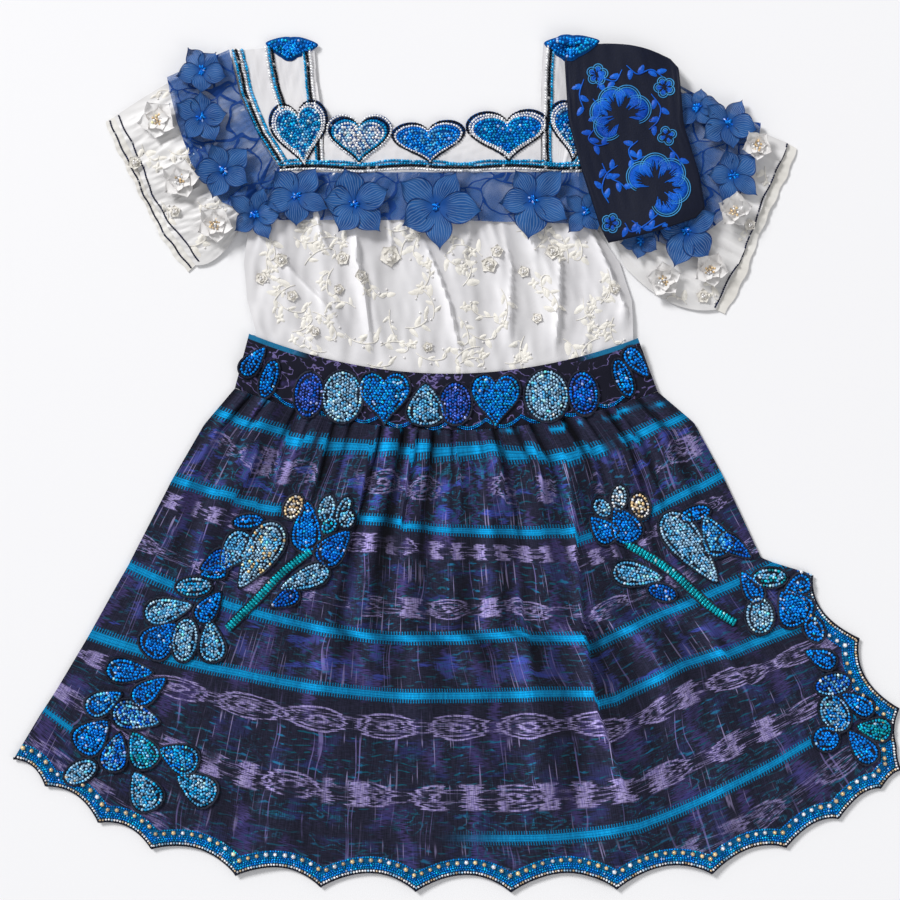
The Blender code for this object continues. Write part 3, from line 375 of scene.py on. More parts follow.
class Shader:
    """A Principled material whose node tree is written as sums and products of its sockets."""

    def __init__(self, name, roughness=0.6, **sockets):
        self.material = bpy.data.materials.new(name)
        self.material.use_nodes = True
        self.tree = self.material.node_tree
        self.main = self.tree.nodes["Principled BSDF"]
        self.main.inputs["Roughness"].default_value = roughness
        for socket, value in sockets.items():
            self.main.inputs[socket.replace("_", " ")].default_value = value

    def put(self, kind, **settings):
        node = self.tree.nodes.new(kind)
        for key, value in settings.items():
            setattr(node, key, value)
        return node

    def feed(self, socket, value):
        if isinstance(value, bpy.types.NodeSocket):
            self.tree.links.new(value, socket)
        elif isinstance(value, tuple) and len(value) == 3 and socket.type == "RGBA":
            socket.default_value = (*value, 1.0)
        else:
            socket.default_value = value

    def sum(self, operation, *values):
        node = self.put("ShaderNodeMath", operation=operation)
        for socket, value in zip(node.inputs, values):
            self.feed(socket, value)
        return node.outputs[0]

    def times(self, *values):
        total = values[0]
        for value in values[1:]:
            total = self.sum("MULTIPLY", total, value)
        return total

    def plus(self, a, b):
        return self.sum("ADD", a, b)

    def less(self, a, b):
        return self.sum("SUBTRACT", a, b)

    def apart(self, a, b):
        return self.sum("ABSOLUTE", self.less(a, b))

    def most(self, a, b):
        return self.sum("MAXIMUM", a, b)

    def soft(self, value, low, high):
        """0 below low, 1 above high and a smooth step between; high may be the lower of the two."""
        node = self.put("ShaderNodeMapRange", interpolation_type="SMOOTHSTEP")
        self.feed(node.inputs["Value"], value)
        self.feed(node.inputs["From Min"], low)
        self.feed(node.inputs["From Max"], high)
        return node.outputs[0]

    def place(self, x, y, z=0.0):
        node = self.put("ShaderNodeCombineXYZ")
        for socket, value in zip(node.inputs, (x, y, z)):
            self.feed(socket, value)
        return node.outputs[0]

    def noise(self, vector, scale=1.0, detail=2.0, rough=0.5):
        node = self.put("ShaderNodeTexNoise")
        self.feed(node.inputs["Vector"], vector)
        node.inputs["Scale"].default_value = scale
        node.inputs["Detail"].default_value = detail
        node.inputs["Roughness"].default_value = rough
        return node.outputs["Fac"]

    def stretched(self, x, x_scale, y, y_scale, seed=0.0, detail=1.0):
        """Noise over two measures that are each scaled apart. The seed picks another slice of it."""
        return self.noise(self.place(self.times(x, x_scale), self.times(y, y_scale), seed), 1.0, detail)

    def tint(self, share, first, second):
        node = self.put("ShaderNodeMix", data_type="RGBA")
        self.feed(node.inputs["Factor"], share)
        self.feed(node.inputs[6], first)
        self.feed(node.inputs[7], second)
        return node.outputs[2]

    def panel(self):
        """The place on the panel, as the two shares that its grid was made with."""
        node = self.put("ShaderNodeSeparateXYZ")
        self.tree.links.new(self.put("ShaderNodeUVMap", uv_map="panel").outputs[0], node.inputs[0])
        return node.outputs[0], node.outputs[1]

    def object_place(self):
        return self.put("ShaderNodeTexCoord").outputs["Object"]

    def grey(self, value):
        node = self.put("ShaderNodeCombineColor")
        for socket in node.inputs:
            self.feed(socket, value)
        return node.outputs[0]

    def multiplied(self, colour, value):
        node = self.put("ShaderNodeMix", data_type="RGBA", blend_type="MULTIPLY")
        node.inputs[0].default_value = 1.0
        self.feed(node.inputs[6], colour)
        self.feed(node.inputs[7], self.grey(value))
        return node.outputs[2]

    def painted_fold_shade(self, colour, darkest, lightest):
        """The colour with painted shade where the cloth lies in a trough and painted light on a ridge."""
        fold = self.put("ShaderNodeAttribute", attribute_name="fold").outputs["Fac"]
        return self.multiplied(colour, self.plus(darkest, self.times(fold, lightest - darkest)))

    def finish(self, colour, height=None, distance=0.0006, strength=1.0):
        self.feed(self.main.inputs["Base Color"], colour)
        if height is not None:
            bump = self.put("ShaderNodeBump")
            bump.inputs["Distance"].default_value = distance
            bump.inputs["Strength"].default_value = strength
            self.feed(bump.inputs["Height"], height)
            self.tree.links.new(bump.outputs[0], self.main.inputs["Normal"])
        return self.material


GROUND = (0.008, 0.009, 0.019)
GROUND_THREAD = (0.019, 0.019, 0.040)
LAVENDER = (0.19, 0.155, 0.38)
PALE_LAVENDER = (0.36, 0.31, 0.56)
INDIGO = (0.046, 0.055, 0.24)
VIOLET = (0.070, 0.052, 0.20)
ROYAL = (0.040, 0.060, 0.32)
TEAL = (0.006, 0.075, 0.115)
SKY = (0.020, 0.16, 0.34)
TURQUOISE = (0.002, 0.220, 0.500)
BRIGHT_TURQUOISE = (0.003, 0.330, 0.690)
HEM_BLUE = (0.002, 0.110, 0.340)
# Each band of open stitching is at a height down the skirt, where the panel has a width. Its core
# and its teeth reach a distance from its middle. One starts part of the way across, and some are
# patchy.
Band = namedtuple("Band", "down width core reach start patchy")
BANDS = [
    Band(-1, 384, 1.6, 3.4, 0, 0.9),
    Band(17, 402, 2.9, 6.0, 0, 0.25),
    Band(82, 497, 3.0, 6.5, 0, 0),
    Band(180, 580, 3.1, 6.6, 0, 0),
    Band(235, 700, 3.2, 6.8, 0, 0),
    Band(366, 790, 3.2, 6.6, 0.53, 0),
]
TOOTH_PITCH = 2.45
# Each row of motifs is at a height down the skirt: rings, blocks where the row has them, and thin
# lines between them. Strength is how brightly it is dyed, and gaps how much of it is left out.
MotifRow = namedtuple("MotifRow", "down repeats phase half_width half_height blocks strength gaps")
MOTIF_ROWS = [
    MotifRow(44, 12, 0.04, 26, 11, 0.1, 0.75, 0.45),
    MotifRow(103, 13, 0.10, 22, 8, 0.62, 0.95, 0.40),
    MotifRow(154, 8, 0.52, 27, 9, 0.25, 0.90, 0.40),
    MotifRow(264, 11, 0.08, 31, 12, 0.12, 1.0, 0.27),
    MotifRow(329, 11, 0.35, 28, 12.5, 0.62, 1.0, 0.30),
    MotifRow(402, 9, 0.1, 30, 10, 0.25, 0.60, 0.42),
    MotifRow(452, 8, 0.4, 30, 12, 0.3, 0.70, 0.40),
]
# Between the rows, the cloth has a zone of lines and dashes, or one of patches and teal swirls.
Zone = namedtuple("Zone", "start end lines swirls blues")
ZONES = [
    Zone(22, 76, 0.7, 1.0, 1.0),
    Zone(112, 174, 1.0, 0.35, 0.35),
    Zone(186, 230, 0.6, 0.25, 0.9),
    Zone(276, 322, 1.0, 0.25, 0.25),
    Zone(340, 362, 0.5, 0.9, 0.3),
    Zone(372, 480, 0.6, 0.7, 0.3),
]


def ikat_material(name):
    """Dark ikat cotton: rows of feathered rings and blocks, bundles of dyed warps, teal weft dashes,
    violet patches and bands of turquoise open stitching with teeth on both sides."""
    s = Shader(name, roughness=0.85, Specular_IOR_Level=0.12)
    u, v = s.panel()
    across = s.times(u, HEM_WIDTH)
    straight_down = s.times(v, SKIRT_LENGTH)
    sway = s.stretched(across, 0.016, straight_down, 0.012, 3.0)
    down = s.plus(straight_down, s.times(s.less(sway, 0.5), 5.0))
    warp = s.stretched(across, 0.022, down, 0.52, 0.0, 1.5)
    feathered = s.plus(across, s.times(s.less(warp, 0.5), 27.0))
    slub = s.stretched(across, 1.1, down, 0.07)
    thread = s.stretched(across, 0.14, down, 1.2, 3.0)
    cross_thread = s.times(s.plus(slub, thread), 0.5)
    colour = s.tint(s.soft(cross_thread, 0.35, 0.65), GROUND, GROUND_THREAD)

    lines_here, swirls_here, blues_here = 0.0, 0.0, 0.0
    for zone in ZONES:
        here = s.times(
            s.soft(down, zone.start - 3, zone.start + 3), s.soft(down, zone.end + 3, zone.end - 3)
        )
        lines_here = s.plus(lines_here, s.times(here, zone.lines))
        swirls_here = s.plus(swirls_here, s.times(here, zone.swirls))
        blues_here = s.plus(blues_here, s.times(here, zone.blues))

    patch = s.stretched(feathered, 0.040, down, 0.016, 7.0, 2.0)
    patch = s.times(s.soft(patch, 0.54, 0.66), s.soft(thread, 0.25, 0.60))
    colour = s.tint(s.times(patch, 0.6), colour, VIOLET)
    blue_patch = s.stretched(feathered, 0.050, down, 0.030, 31.0)
    blue_patch = s.times(s.soft(blue_patch, 0.54, 0.66), s.soft(slub, 0.20, 0.55))
    colour = s.tint(s.times(blue_patch, blues_here, 0.8), colour, INDIGO)
    royal_patch = s.stretched(feathered, 0.022, down, 0.085, 53.0, 2.0)
    royal_patch = s.times(s.soft(royal_patch, 0.60, 0.66), blues_here)
    colour = s.tint(s.times(royal_patch, s.soft(thread, 0.25, 0.6), 0.85), colour, ROYAL)

    swirl = s.stretched(across, 0.030, down, 0.050, 13.0)
    swirl = s.apart(s.sum("FRACT", s.times(swirl, 9.0)), 0.5)
    swirl = s.times(s.soft(swirl, 0.16, 0.06), s.soft(thread, 0.35, 0.6))
    present = s.stretched(across, 0.018, down, 0.02, 41.0)
    swirl = s.times(swirl, swirls_here, s.soft(present, 0.42, 0.55))
    colour = s.tint(s.times(swirl, 0.85), colour, TEAL)
    colour = s.tint(s.times(swirl, s.soft(slub, 0.5, 0.65), 0.8), colour, SKY)

    jitter = s.stretched(across, 0.035, down, 0.03, 9.0)
    weft_line = s.sum("FRACT", s.plus(s.times(down, 1 / 7.4), s.times(jitter, 2.2)))
    weft_line = s.apart(weft_line, 0.5)
    dash = s.stretched(across, 0.085, down, 0.30, 11.0, 2.0)
    weft = s.times(s.soft(weft_line, 0.13, 0.05), s.soft(dash, 0.50, 0.60), s.plus(0.25, lines_here))
    colour = s.tint(s.times(weft, 0.8), colour, TEAL)

    bundle = s.sum("SINE", s.plus(s.times(across, 2 * math.pi / 37.0), s.times(sway, 6.0)))
    bundle = s.soft(bundle, 0.30, 0.80)
    line = s.stretched(s.plus(across, s.times(sway, 30.0)), 0.50, down, 0.006, 5.0, 0.0)
    lines_present = s.stretched(across, 0.03, down, 0.016, 17.0)
    warps = s.times(bundle, s.soft(line, 0.60, 0.66), s.soft(lines_present, 0.44, 0.54))
    broken = s.soft(s.stretched(across, 0.4, down, 0.06, 19.0), 0.28, 0.46)
    colour = s.tint(s.times(warps, broken, s.plus(0.12, s.times(lines_here, 0.62))), colour, LAVENDER)
    stray = s.stretched(across, 0.45, down, 0.02, 23.0, 0.0)
    stray = s.times(s.soft(stray, 0.70, 0.74), s.soft(lines_present, 0.56, 0.44), broken)
    colour = s.tint(s.times(stray, s.plus(0.08, s.times(lines_here, 0.45))), colour, PALE_LAVENDER)
    knots = s.times(s.soft(weft_line, 0.26, 0.12), bundle, s.soft(dash, 0.54, 0.60), lines_here)
    colour = s.tint(s.times(knots, 0.55), colour, SKY)

    for number, row in enumerate(MOTIF_ROWS):
        pitch = HEM_WIDTH / row.repeats
        swell = s.plus(
            0.82, s.times(s.noise(s.place(s.times(across, 0.012), 71.0 + 5 * number), 1.0, 0.0), 0.4)
        )
        spot = s.less(s.sum("FRACT", s.plus(s.times(feathered, 1 / pitch), row.phase)), 0.5)
        a = s.sum("DIVIDE", s.times(spot, pitch / row.half_width), swell)
        b = s.times(s.less(down, row.down), 1 / row.half_height)
        radius = s.sum("SQRT", s.plus(s.times(a, a), s.times(b, b)))
        outer = s.soft(s.apart(radius, 0.92), 0.10, 0.04)
        middle = s.times(s.soft(s.apart(radius, 0.66), 0.075, 0.03), s.soft(warp, 0.42, 0.56))
        inner = s.soft(s.apart(radius, 0.26), 0.12, 0.04)
        rings = s.most(s.most(outer, middle), inner)
        block_spot = s.sum("FRACT", s.plus(s.times(feathered, 2.0 / pitch), row.phase))
        block_spot = s.apart(block_spot, 0.5)
        waist = s.plus(0.17, s.times(s.sum("ABSOLUTE", b), 0.12))
        block = s.times(
            s.soft(s.less(block_spot, waist), 0.03, -0.03), s.soft(s.sum("ABSOLUTE", b), 1.05, 0.85)
        )
        share = s.noise(s.place(s.times(across, 0.0105), 40.0 + 9 * number), 1.0, 0.0)
        share = s.soft(share, 0.60 - 0.2 * row.blocks, 0.57 - 0.2 * row.blocks)
        motif = s.plus(s.times(share, rings), s.times(s.less(1.0, share), block))
        ties = s.apart(s.sum("ABSOLUTE", b), s.plus(0.35, s.times(s.less(warp, 0.5), 1.6)))
        ties = s.times(s.soft(ties, 0.09, 0.03), 0.6)
        motif = s.most(motif, ties)
        left = s.noise(s.place(s.times(across, 0.017), 15.0 + 7 * number, s.times(down, 0.01)), 1.0, 1.0)
        motif = s.times(motif, s.soft(left, row.gaps, row.gaps + 0.07), s.soft(thread, 0.30, 0.56))
        streak = s.tint(s.soft(slub, 0.35, 0.65), LAVENDER, PALE_LAVENDER)
        colour = s.tint(s.times(motif, row.strength), colour, streak)

    height = s.times(cross_thread, 0.3)
    for band in BANDS:
        far = s.apart(straight_down, band.down)
        tooth = s.sum("FRACT", s.times(u, band.width / TOOTH_PITCH))
        tooth = s.soft(s.apart(tooth, 0.5), 0.30, 0.18)
        reach = s.plus(band.reach, s.times(s.less(thread, 0.5), 1.6))
        teeth = s.times(tooth, s.soft(s.less(far, reach), 0.5, -0.5))
        body = s.soft(far, band.core + 0.35, band.core - 0.25)
        mask = s.most(body, teeth)
        if band.start:
            mask = s.times(
                mask, s.most(s.soft(u, band.start - 0.07, band.start + 0.05), s.soft(u, 0.05, 0.03))
            )
        if band.patchy:
            patches = s.noise(s.place(s.times(u, 15.0), 90.0 + band.down), 1.0, 2.0)
            mask = s.times(mask, s.soft(patches, 0.30 + 0.2 * band.patchy, 0.38 + 0.2 * band.patchy))
        rung = s.sum("SINE", s.times(u, band.width * 2 * math.pi / (TOOTH_PITCH / 2)))
        row_line = s.sum("SINE", s.times(far, 2 * math.pi / 1.75))
        shade = s.plus(0.80, s.plus(s.times(row_line, 0.20), s.times(rung, 0.10)))
        shade = s.times(shade, s.plus(0.72, s.times(body, 0.28)), s.plus(0.75, s.times(thread, 0.5)))
        stitched = s.multiplied(s.tint(s.soft(slub, 0.35, 0.7), TURQUOISE, BRIGHT_TURQUOISE), shade)
        colour = s.tint(mask, colour, stitched)
        height = s.plus(
            height, s.times(mask, s.plus(0.9, s.plus(s.times(rung, 0.2), s.times(row_line, 0.25))))
        )
    rim = s.put("ShaderNodeAttribute", attribute_name="hem_far").outputs["Fac"]
    border = s.times(s.soft(rim, 3.2, 3.8), s.soft(rim, 15.4, 14.6))
    ribs = s.plus(0.8, s.times(s.sum("SINE", s.times(rim, 2 * math.pi / 1.5)), 0.25))
    ribs = s.times(ribs, s.plus(0.35, s.times(slub, 0.6)))
    # Painted shade in the troughs of the gathers, folds and creases, and painted light on their ridges.
    colour = s.painted_fold_shade(colour, 0.16, 1.9)
    colour = s.tint(
        border, colour, s.multiplied(s.tint(s.soft(thread, 0.3, 0.7), TURQUOISE, HEM_BLUE), ribs)
    )
    colour = s.tint(s.soft(rim, 3.4, 2.9), colour, (0.003, 0.005, 0.018))
    return s.finish(colour, s.plus(height, s.times(border, 0.8)), 0.0007, 0.8)


ikat = ikat_material("ikat_cotton")


def grid(columns, rows):
    """Two arrays of shares across and down, each from 0 to 1."""
    across = columns if isinstance(columns, np.ndarray) else np.linspace(0, 1, columns + 1)
    down = rows if isinstance(rows, np.ndarray) else np.linspace(0, 1, rows + 1)
    return np.meshgrid(across, down)


def dress_with(obj, material, slot, *replaced):
    """Gives a piece its material, puts it under the root and hides the solids that it stands for. The slot
    is not used.
    """
    obj.data.materials.clear()
    obj.data.materials.append(material)
    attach(obj, "root")
    if replaced:
        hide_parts(*replaced)
    return obj


def evened(height, passes):
    """Heights on a grid, each drawn towards the mean of its four neighbours once a pass."""
    for _ in range(passes):
        wide = np.pad(height, 1, mode="edge")
        height = (wide[:-2, 1:-1] + wide[2:, 1:-1] + wide[1:-1, :-2] + wide[1:-1, 2:] + 4 * height) / 8
    return height


def skirt_surface(across, down):
    x, y = skirt_place(across, down)
    lift, slip = skirt_lift(across, down, x, y)
    return x, y, SKIRT_REST + lift, slip


skirt_rows = np.concatenate([np.linspace(0, 0.84, 112)[:-1], np.linspace(0.84, 1, 29)])
u, v = grid(300, skirt_rows)
x, y, top, slip = skirt_surface(u, v)
across, down = grain_place(x, y, u, v)
jog = 2.8 * np.sin(3.7 * np.floor(gather_turn(u))) * np.exp(-v / 0.14)
grain = down + (skirt_rise(across, down) - slip + jog) / SKIRT_LENGTH
# Painted shade for the skirt's colour: low in its troughs and high on its ridges.
skirt_painted_shade = evened(0.6 * hollows(top, 6, 3.0) + 0.4 * hollows(top, 16, 6.0), 1)
fine = np.linspace(0, 1, 1400)
hem_edge = np.stack(skirt_place(fine, np.ones_like(fine)), -1)
down_side = np.linspace(1, SIDE_TIPS[0], 420)[1:]
side_edge = np.stack(skirt_place(np.ones_like(down_side), down_side), -1)
skirt_edge = np.concatenate([hem_edge, side_edge])
edge_x, edge_y = skirt_edge[::3].T
hem_far = [np.hypot(row_x[:, None] - edge_x, row_y[:, None] - edge_y).min(1) for row_x, row_y in zip(x, y)]
skirt_front = shells(
    "skirt_front_cloth", [(x, y, top, across, grain)], WALL, skirt_painted_shade, np.array(hem_far)
)
dress_with(skirt_front, ikat, "corte_cotton", "skirt_front")

# The skirt's back
# The panel under the front one, which lies flat on the surface. It is the same cloth and reaches
# almost as far.

BACK_MIDDLE_X, BACK_MIDDLE_Y = -14, -180
BACK_SHARE = 0.994
BACK_THICK = 1.3

u, v = grid(90, 40)
x, y = skirt_place(u, v)
x = BACK_MIDDLE_X + (x - BACK_MIDDLE_X) * BACK_SHARE
y = BACK_MIDDLE_Y + (y - BACK_MIDDLE_Y) * BACK_SHARE
across, down = grain_place(x, y, u, v)
grain = down + skirt_rise(across, down) / SKIRT_LENGTH
skirt_back = shells("skirt_back_cloth", [(x, y, np.full_like(x, BACK_THICK), across, grain)], BACK_THICK)
dress_with(skirt_back, ikat, "corte_cotton", "skirt_back")

# The beaded hem
# A dark cord edges the scallops and the right side. Inside it run a row of silver, white and tan
# beads, rows of blue and turquoise beads, and a row of gold pearls between two of these.

BEAD_SIDES = 5


def tree_of(*objects):
    """One search tree over the faces of some pieces, for the height of what lies on them."""
    corners, faces = [], []
    for obj in objects:
        start = len(corners)
        corners += [obj.matrix_world @ vert.co for vert in obj.data.vertices]
        faces += [[start + index for index in face.vertices] for face in obj.data.polygons]
    return BVHTree.FromPolygons(corners, faces)


def rest(tree, x, y, reach=0.0):
    """The height in mm of what is below each place, as a mean over a ring of the given reach."""
    ring = [(0.0, 0.0)]
    if reach:
        ring += [(reach * math.cos(n * math.pi / 3), reach * math.sin(n * math.pi / 3)) for n in range(6)]
    heights = np.empty(x.size)
    for index, (px, py) in enumerate(zip(x.ravel(), y.ravel())):
        tops = []
        for dx, dy in ring:
            hit = tree.ray_cast(Vector(((px + dx) * MM, (py + dy) * MM, 1)), Vector((0, 0, -1)))[0]
            if hit is not None:
                tops.append(hit.z)
        if not tops:
            tops.append(tree.find_nearest(Vector((px * MM, py * MM, 0.02)))[0].z)
        heights[index] = sum(tops) / len(tops) / MM
    return heights.reshape(x.shape)


def rest_at(tree, x, y, reach=0.0):
    return float(rest(tree, np.array([x]), np.array([y]), reach)[0])


def beads(name, x, y, z, radius, colours, material, along=None, stretch=1.0, slot="blue_beads"):
    """One mesh of domed beads: a ring, a smaller ring above it and an apex, in each bead's colour.

    The radius is one for all or one for each bead. Along is each bead's direction in radians, and
    stretch how much longer it is that way.
    """
    x, y, z = (np.asarray(part, dtype=float) for part in (x, y, z))
    radius = np.broadcast_to(radius, x.shape)
    turn = np.arange(BEAD_SIDES) * 2 * np.pi / BEAD_SIDES
    rings = ((1, -0.35), (0.72, 0.62))
    shape = [(wide * np.cos(a), wide * np.sin(a), high) for wide, high in rings for a in turn]
    shape = np.array(shape + [(0, 0, 0.95)])
    shape = np.broadcast_to(shape, (x.size, len(shape), 3)) * radius.reshape(-1, 1, 1)
    shape = shape * np.array([stretch, 1.0, 1.0])
    heading = np.arange(x.size) * 2.4 if along is None else np.asarray(along)
    cos, sin = np.cos(heading)[:, None], np.sin(heading)[:, None]
    out, side, up = np.moveaxis(shape, -1, 0)
    swung = np.stack([out * cos - side * sin, out * sin + side * cos, up], -1)
    points = (swung + np.stack([x, y, z], -1)[:, None, :]) * MM
    faces = []
    for side in range(BEAD_SIDES):
        after = (side + 1) % BEAD_SIDES
        faces.append((side, after, after + BEAD_SIDES))
        faces.append((side, after + BEAD_SIDES, side + BEAD_SIDES))
        faces.append((side + BEAD_SIDES, after + BEAD_SIDES, 2 * BEAD_SIDES))
    size = 2 * BEAD_SIDES + 1
    faces = np.array(faces)[None] + (np.arange(x.size) * size)[:, None, None]
    mesh = bpy.data.meshes.new(name)
    mesh.from_pydata(points.reshape(-1, 3).tolist(), [], faces.reshape(-1, 3).tolist())
    layer = mesh.color_attributes.new("tint", "FLOAT_COLOR", "POINT")
    tints = np.repeat(np.concatenate([colours, np.ones((x.size, 1))], axis=1), size, axis=0)
    layer.data.foreach_set("color", tints.reshape(-1))
    mesh.shade_smooth()
    return dress_with(link(name, mesh), material, slot)


def glass_material(name, roughness=0.24, metallic=0.35, coat=0.05):
    """Glass beads in the colour that each carries, with a clear gloss."""
    s = Shader(
        name, roughness, Metallic=metallic, Coat_Weight=coat, Coat_Roughness=0.06, Specular_IOR_Level=0.15
    )
    return s.finish(s.put("ShaderNodeAttribute", attribute_name="tint").outputs["Color"])


glass = glass_material("seed_beads")
pearl = glass_material("pearl_beads", 0.3, 0.1, 0.3)

BEAD_COLOURS = {
    "blue": (0.002, 0.185, 0.66),
    "bright": (0.002, 0.27, 0.86),
    "royal": (0.003, 0.11, 0.56),
    "violet": (0.055, 0.12, 0.52),
    "light": (0.10, 0.42, 0.74),
    "silver": (0.30, 0.50, 0.68),
    "teal": (0.003, 0.34, 0.42),
    "turquoise": (0.004, 0.30, 0.60),
    "gold": (0.78, 0.56, 0.30),
    "tan": (0.58, 0.44, 0.28),
    "white": (0.84, 0.84, 0.87),
    "black": (0.006, 0.007, 0.012),
    "navy": (0.004, 0.008, 0.040),
}
bead_chance = np.random.default_rng(11)


def shades(names, count, spread=0.35):
    """Colours for a run of beads: a mix of the named ones, each a little lighter or darker, and a few with
    a painted highlight.
    """
    table = np.array([BEAD_COLOURS[name] for name in names])
    picked = table[bead_chance.integers(0, len(names), count)]
    level = np.exp(bead_chance.normal(0, spread, (count, 1)))
    # A few beads are made paler as a painted highlight.
    painted_glint = (bead_chance.random((count, 1)) < 0.035) * 0.4
    return np.clip(picked * level + painted_glint, 0, 1)


def spaced(points, gap, closed=False):
    """Points at an even gap along a line of points, with each one's direction in radians."""
    points = np.asarray(points, dtype=float)
    if closed:
        points = np.concatenate([points, points[:1]])
    steps = np.hypot(*np.diff(points, axis=0).T)
    far = np.concatenate([[0], np.cumsum(steps)])
    count = max(int(far[-1] / gap), 1)
    at = np.linspace(0, far[-1], count, endpoint=not closed)
    x, y = np.interp(at, far, points[:, 0]), np.interp(at, far, points[:, 1])
    ahead = np.minimum(at + 0.5, far[-1])
    back = np.maximum(at - 0.5, 0)
    dx = np.interp(ahead, far, points[:, 0]) - np.interp(back, far, points[:, 0])
    dy = np.interp(ahead, far, points[:, 1]) - np.interp(back, far, points[:, 1])
    return x, y, np.arctan2(dy, dx)


def left_of(points):
    """The unit vector to the left of a line of points, at each of them."""
    ahead = np.gradient(points, axis=0)
    return np.stack([-ahead[:, 1], ahead[:, 0]], -1) / np.maximum(np.hypot(*ahead.T)[:, None], 1e-6)


def inset_line(points, inset):
    """A line of points moved to its left, without the loops that its corners would make."""
    moved = points + left_of(points) * inset
    far = np.sqrt(((moved[:, None, :] - points[None, :, :]) ** 2).sum(-1)).min(1)
    return moved[far > inset * 0.93]


def cord(points, heights, radius, sides):
    """A round section that is swept along a line of points, as a pair of points in mm and faces.

    The radius is one for all the line, or one for each of its points.
    """
    turn = np.arange(sides) * 2 * np.pi / sides
    count = len(points)
    radius = np.broadcast_to(radius, count)[:, None]
    flat = points[:, None, :] + (np.cos(turn) * radius)[..., None] * left_of(points)[:, None, :]
    rise = heights[:, None] + np.sin(turn) * radius
    index = np.arange(count * sides).reshape(count, sides)
    after = np.roll(index, -1, axis=1)
    faces = np.stack([index[:-1], after[:-1], after[1:], index[1:]], -1).reshape(-1, 4).tolist()
    faces += [index[0][::-1].tolist(), index[-1].tolist()]
    return np.concatenate([flat, rise[..., None]], -1).reshape(-1, 3), faces


def joined(name, parts):
    """One mesh of several loose parts, each a pair of points in mm and faces."""
    verts, faces = [], []
    start = 0
    for points, shape in parts:
        verts.append(points)
        faces += [[start + index for index in face] for face in shape]
        start += len(points)
    mesh = bpy.data.meshes.new(name)
    mesh.from_pydata((np.concatenate(verts) * MM).tolist(), [], faces)
    mesh.shade_smooth()
    return link(name, mesh)


def weave_material(name, colour, dark, roughness=0.7, scale=900.0, gloss=0.15, distance=0.0004):
    """Plain cloth on its own place in space: a fine crossed weave with slight soft shading."""
    s = Shader(name, roughness, Specular_IOR_Level=gloss)
    place = s.object_place()
    fine = s.noise(place, scale, 1.0)
    broad = s.noise(place, 30.0, 2.0)
    shade = s.plus(s.times(fine, 0.5), s.times(broad, 0.5))
    return s.finish(s.tint(s.soft(shade, 0.35, 0.65), dark, colour), fine, distance, 0.5)


skirt_tree = tree_of(skirt_front)
edge = np.stack(spaced(skirt_edge, 2.0)[:2], -1)
left_x, left_y = skirt_place(np.zeros(200), np.linspace(0, 1, 200))
piping_line = inset_line(edge, 0.9)
blue_felt = weave_material("blue_felt", (0.004, 0.09, 0.34), (0.002, 0.04, 0.18), 0.9, 700.0, 0.1)
felt = weave_material("dark_felt", (0.020, 0.022, 0.038), (0.006, 0.007, 0.015), 0.95, 700.0, 0.1)
cord_felt = weave_material(
    "dark_cord", (0.036, 0.040, 0.062), (0.008, 0.010, 0.020), 0.9, 520.0, 0.1, 0.0009
)
piping = joined("hem_piping", [cord(piping_line, rest(skirt_tree, *piping_line.T) - 0.3, 1.1, 6)])
dress_with(piping, felt, "corte_cotton")

# Each row of beads: its distance from the hem's edge, the gap and the radius of its beads, their
# colours, how much their lightness varies, and how far they stray.
HemRow = namedtuple("HemRow", "inset gap radius colours spread stray")
HEM_ROWS = [
    HemRow(2.4, 2.6, 1.2, "silver white tan white", 0.25, 0.1),
    HemRow(4.9, 2.2, 1.05, "blue bright turquoise", 0.4, 0.12),
    HemRow(6.9, 2.2, 1.05, "turquoise bright blue", 0.4, 0.12),
    HemRow(8.8, 2.4, 0.9, "turquoise blue", 0.4, 0.12),
    HemRow(14.4, 2.3, 0.95, "blue turquoise", 0.4, 0.12),
    HemRow(11.6, 8.2, 2.2, "gold tan gold white", 0.15, 0.25),
]
hem_rows = []
for row in HEM_ROWS:
    line = inset_line(edge, row.inset)
    line = line[line[:, 0] > np.interp(-line[:, 1], -left_y, left_x) + 1.2]
    x, y, _ = spaced(line, row.gap)
    x, y = x + bead_chance.normal(0, row.stray, x.size), y + bead_chance.normal(0, row.stray, x.size)
    sizes = row.radius * bead_chance.uniform(0.88, 1.1, x.size)
    z = rest(skirt_tree, x, y) + 0.35 * row.radius + 0.2
    hem_rows.append((x, y, z, sizes, shades(row.colours.split(), len(x), row.spread)))
beads("hem_beads", *map(np.concatenate, zip(*hem_rows)), glass)

# The beaded sprays on the skirt
# Each petal and leaf is a padded felt shape with a dark cord round it. A row of glass beads follows its
# outline, and staggered rows fill it. Beaded teal stems join a blossom to its leaves.

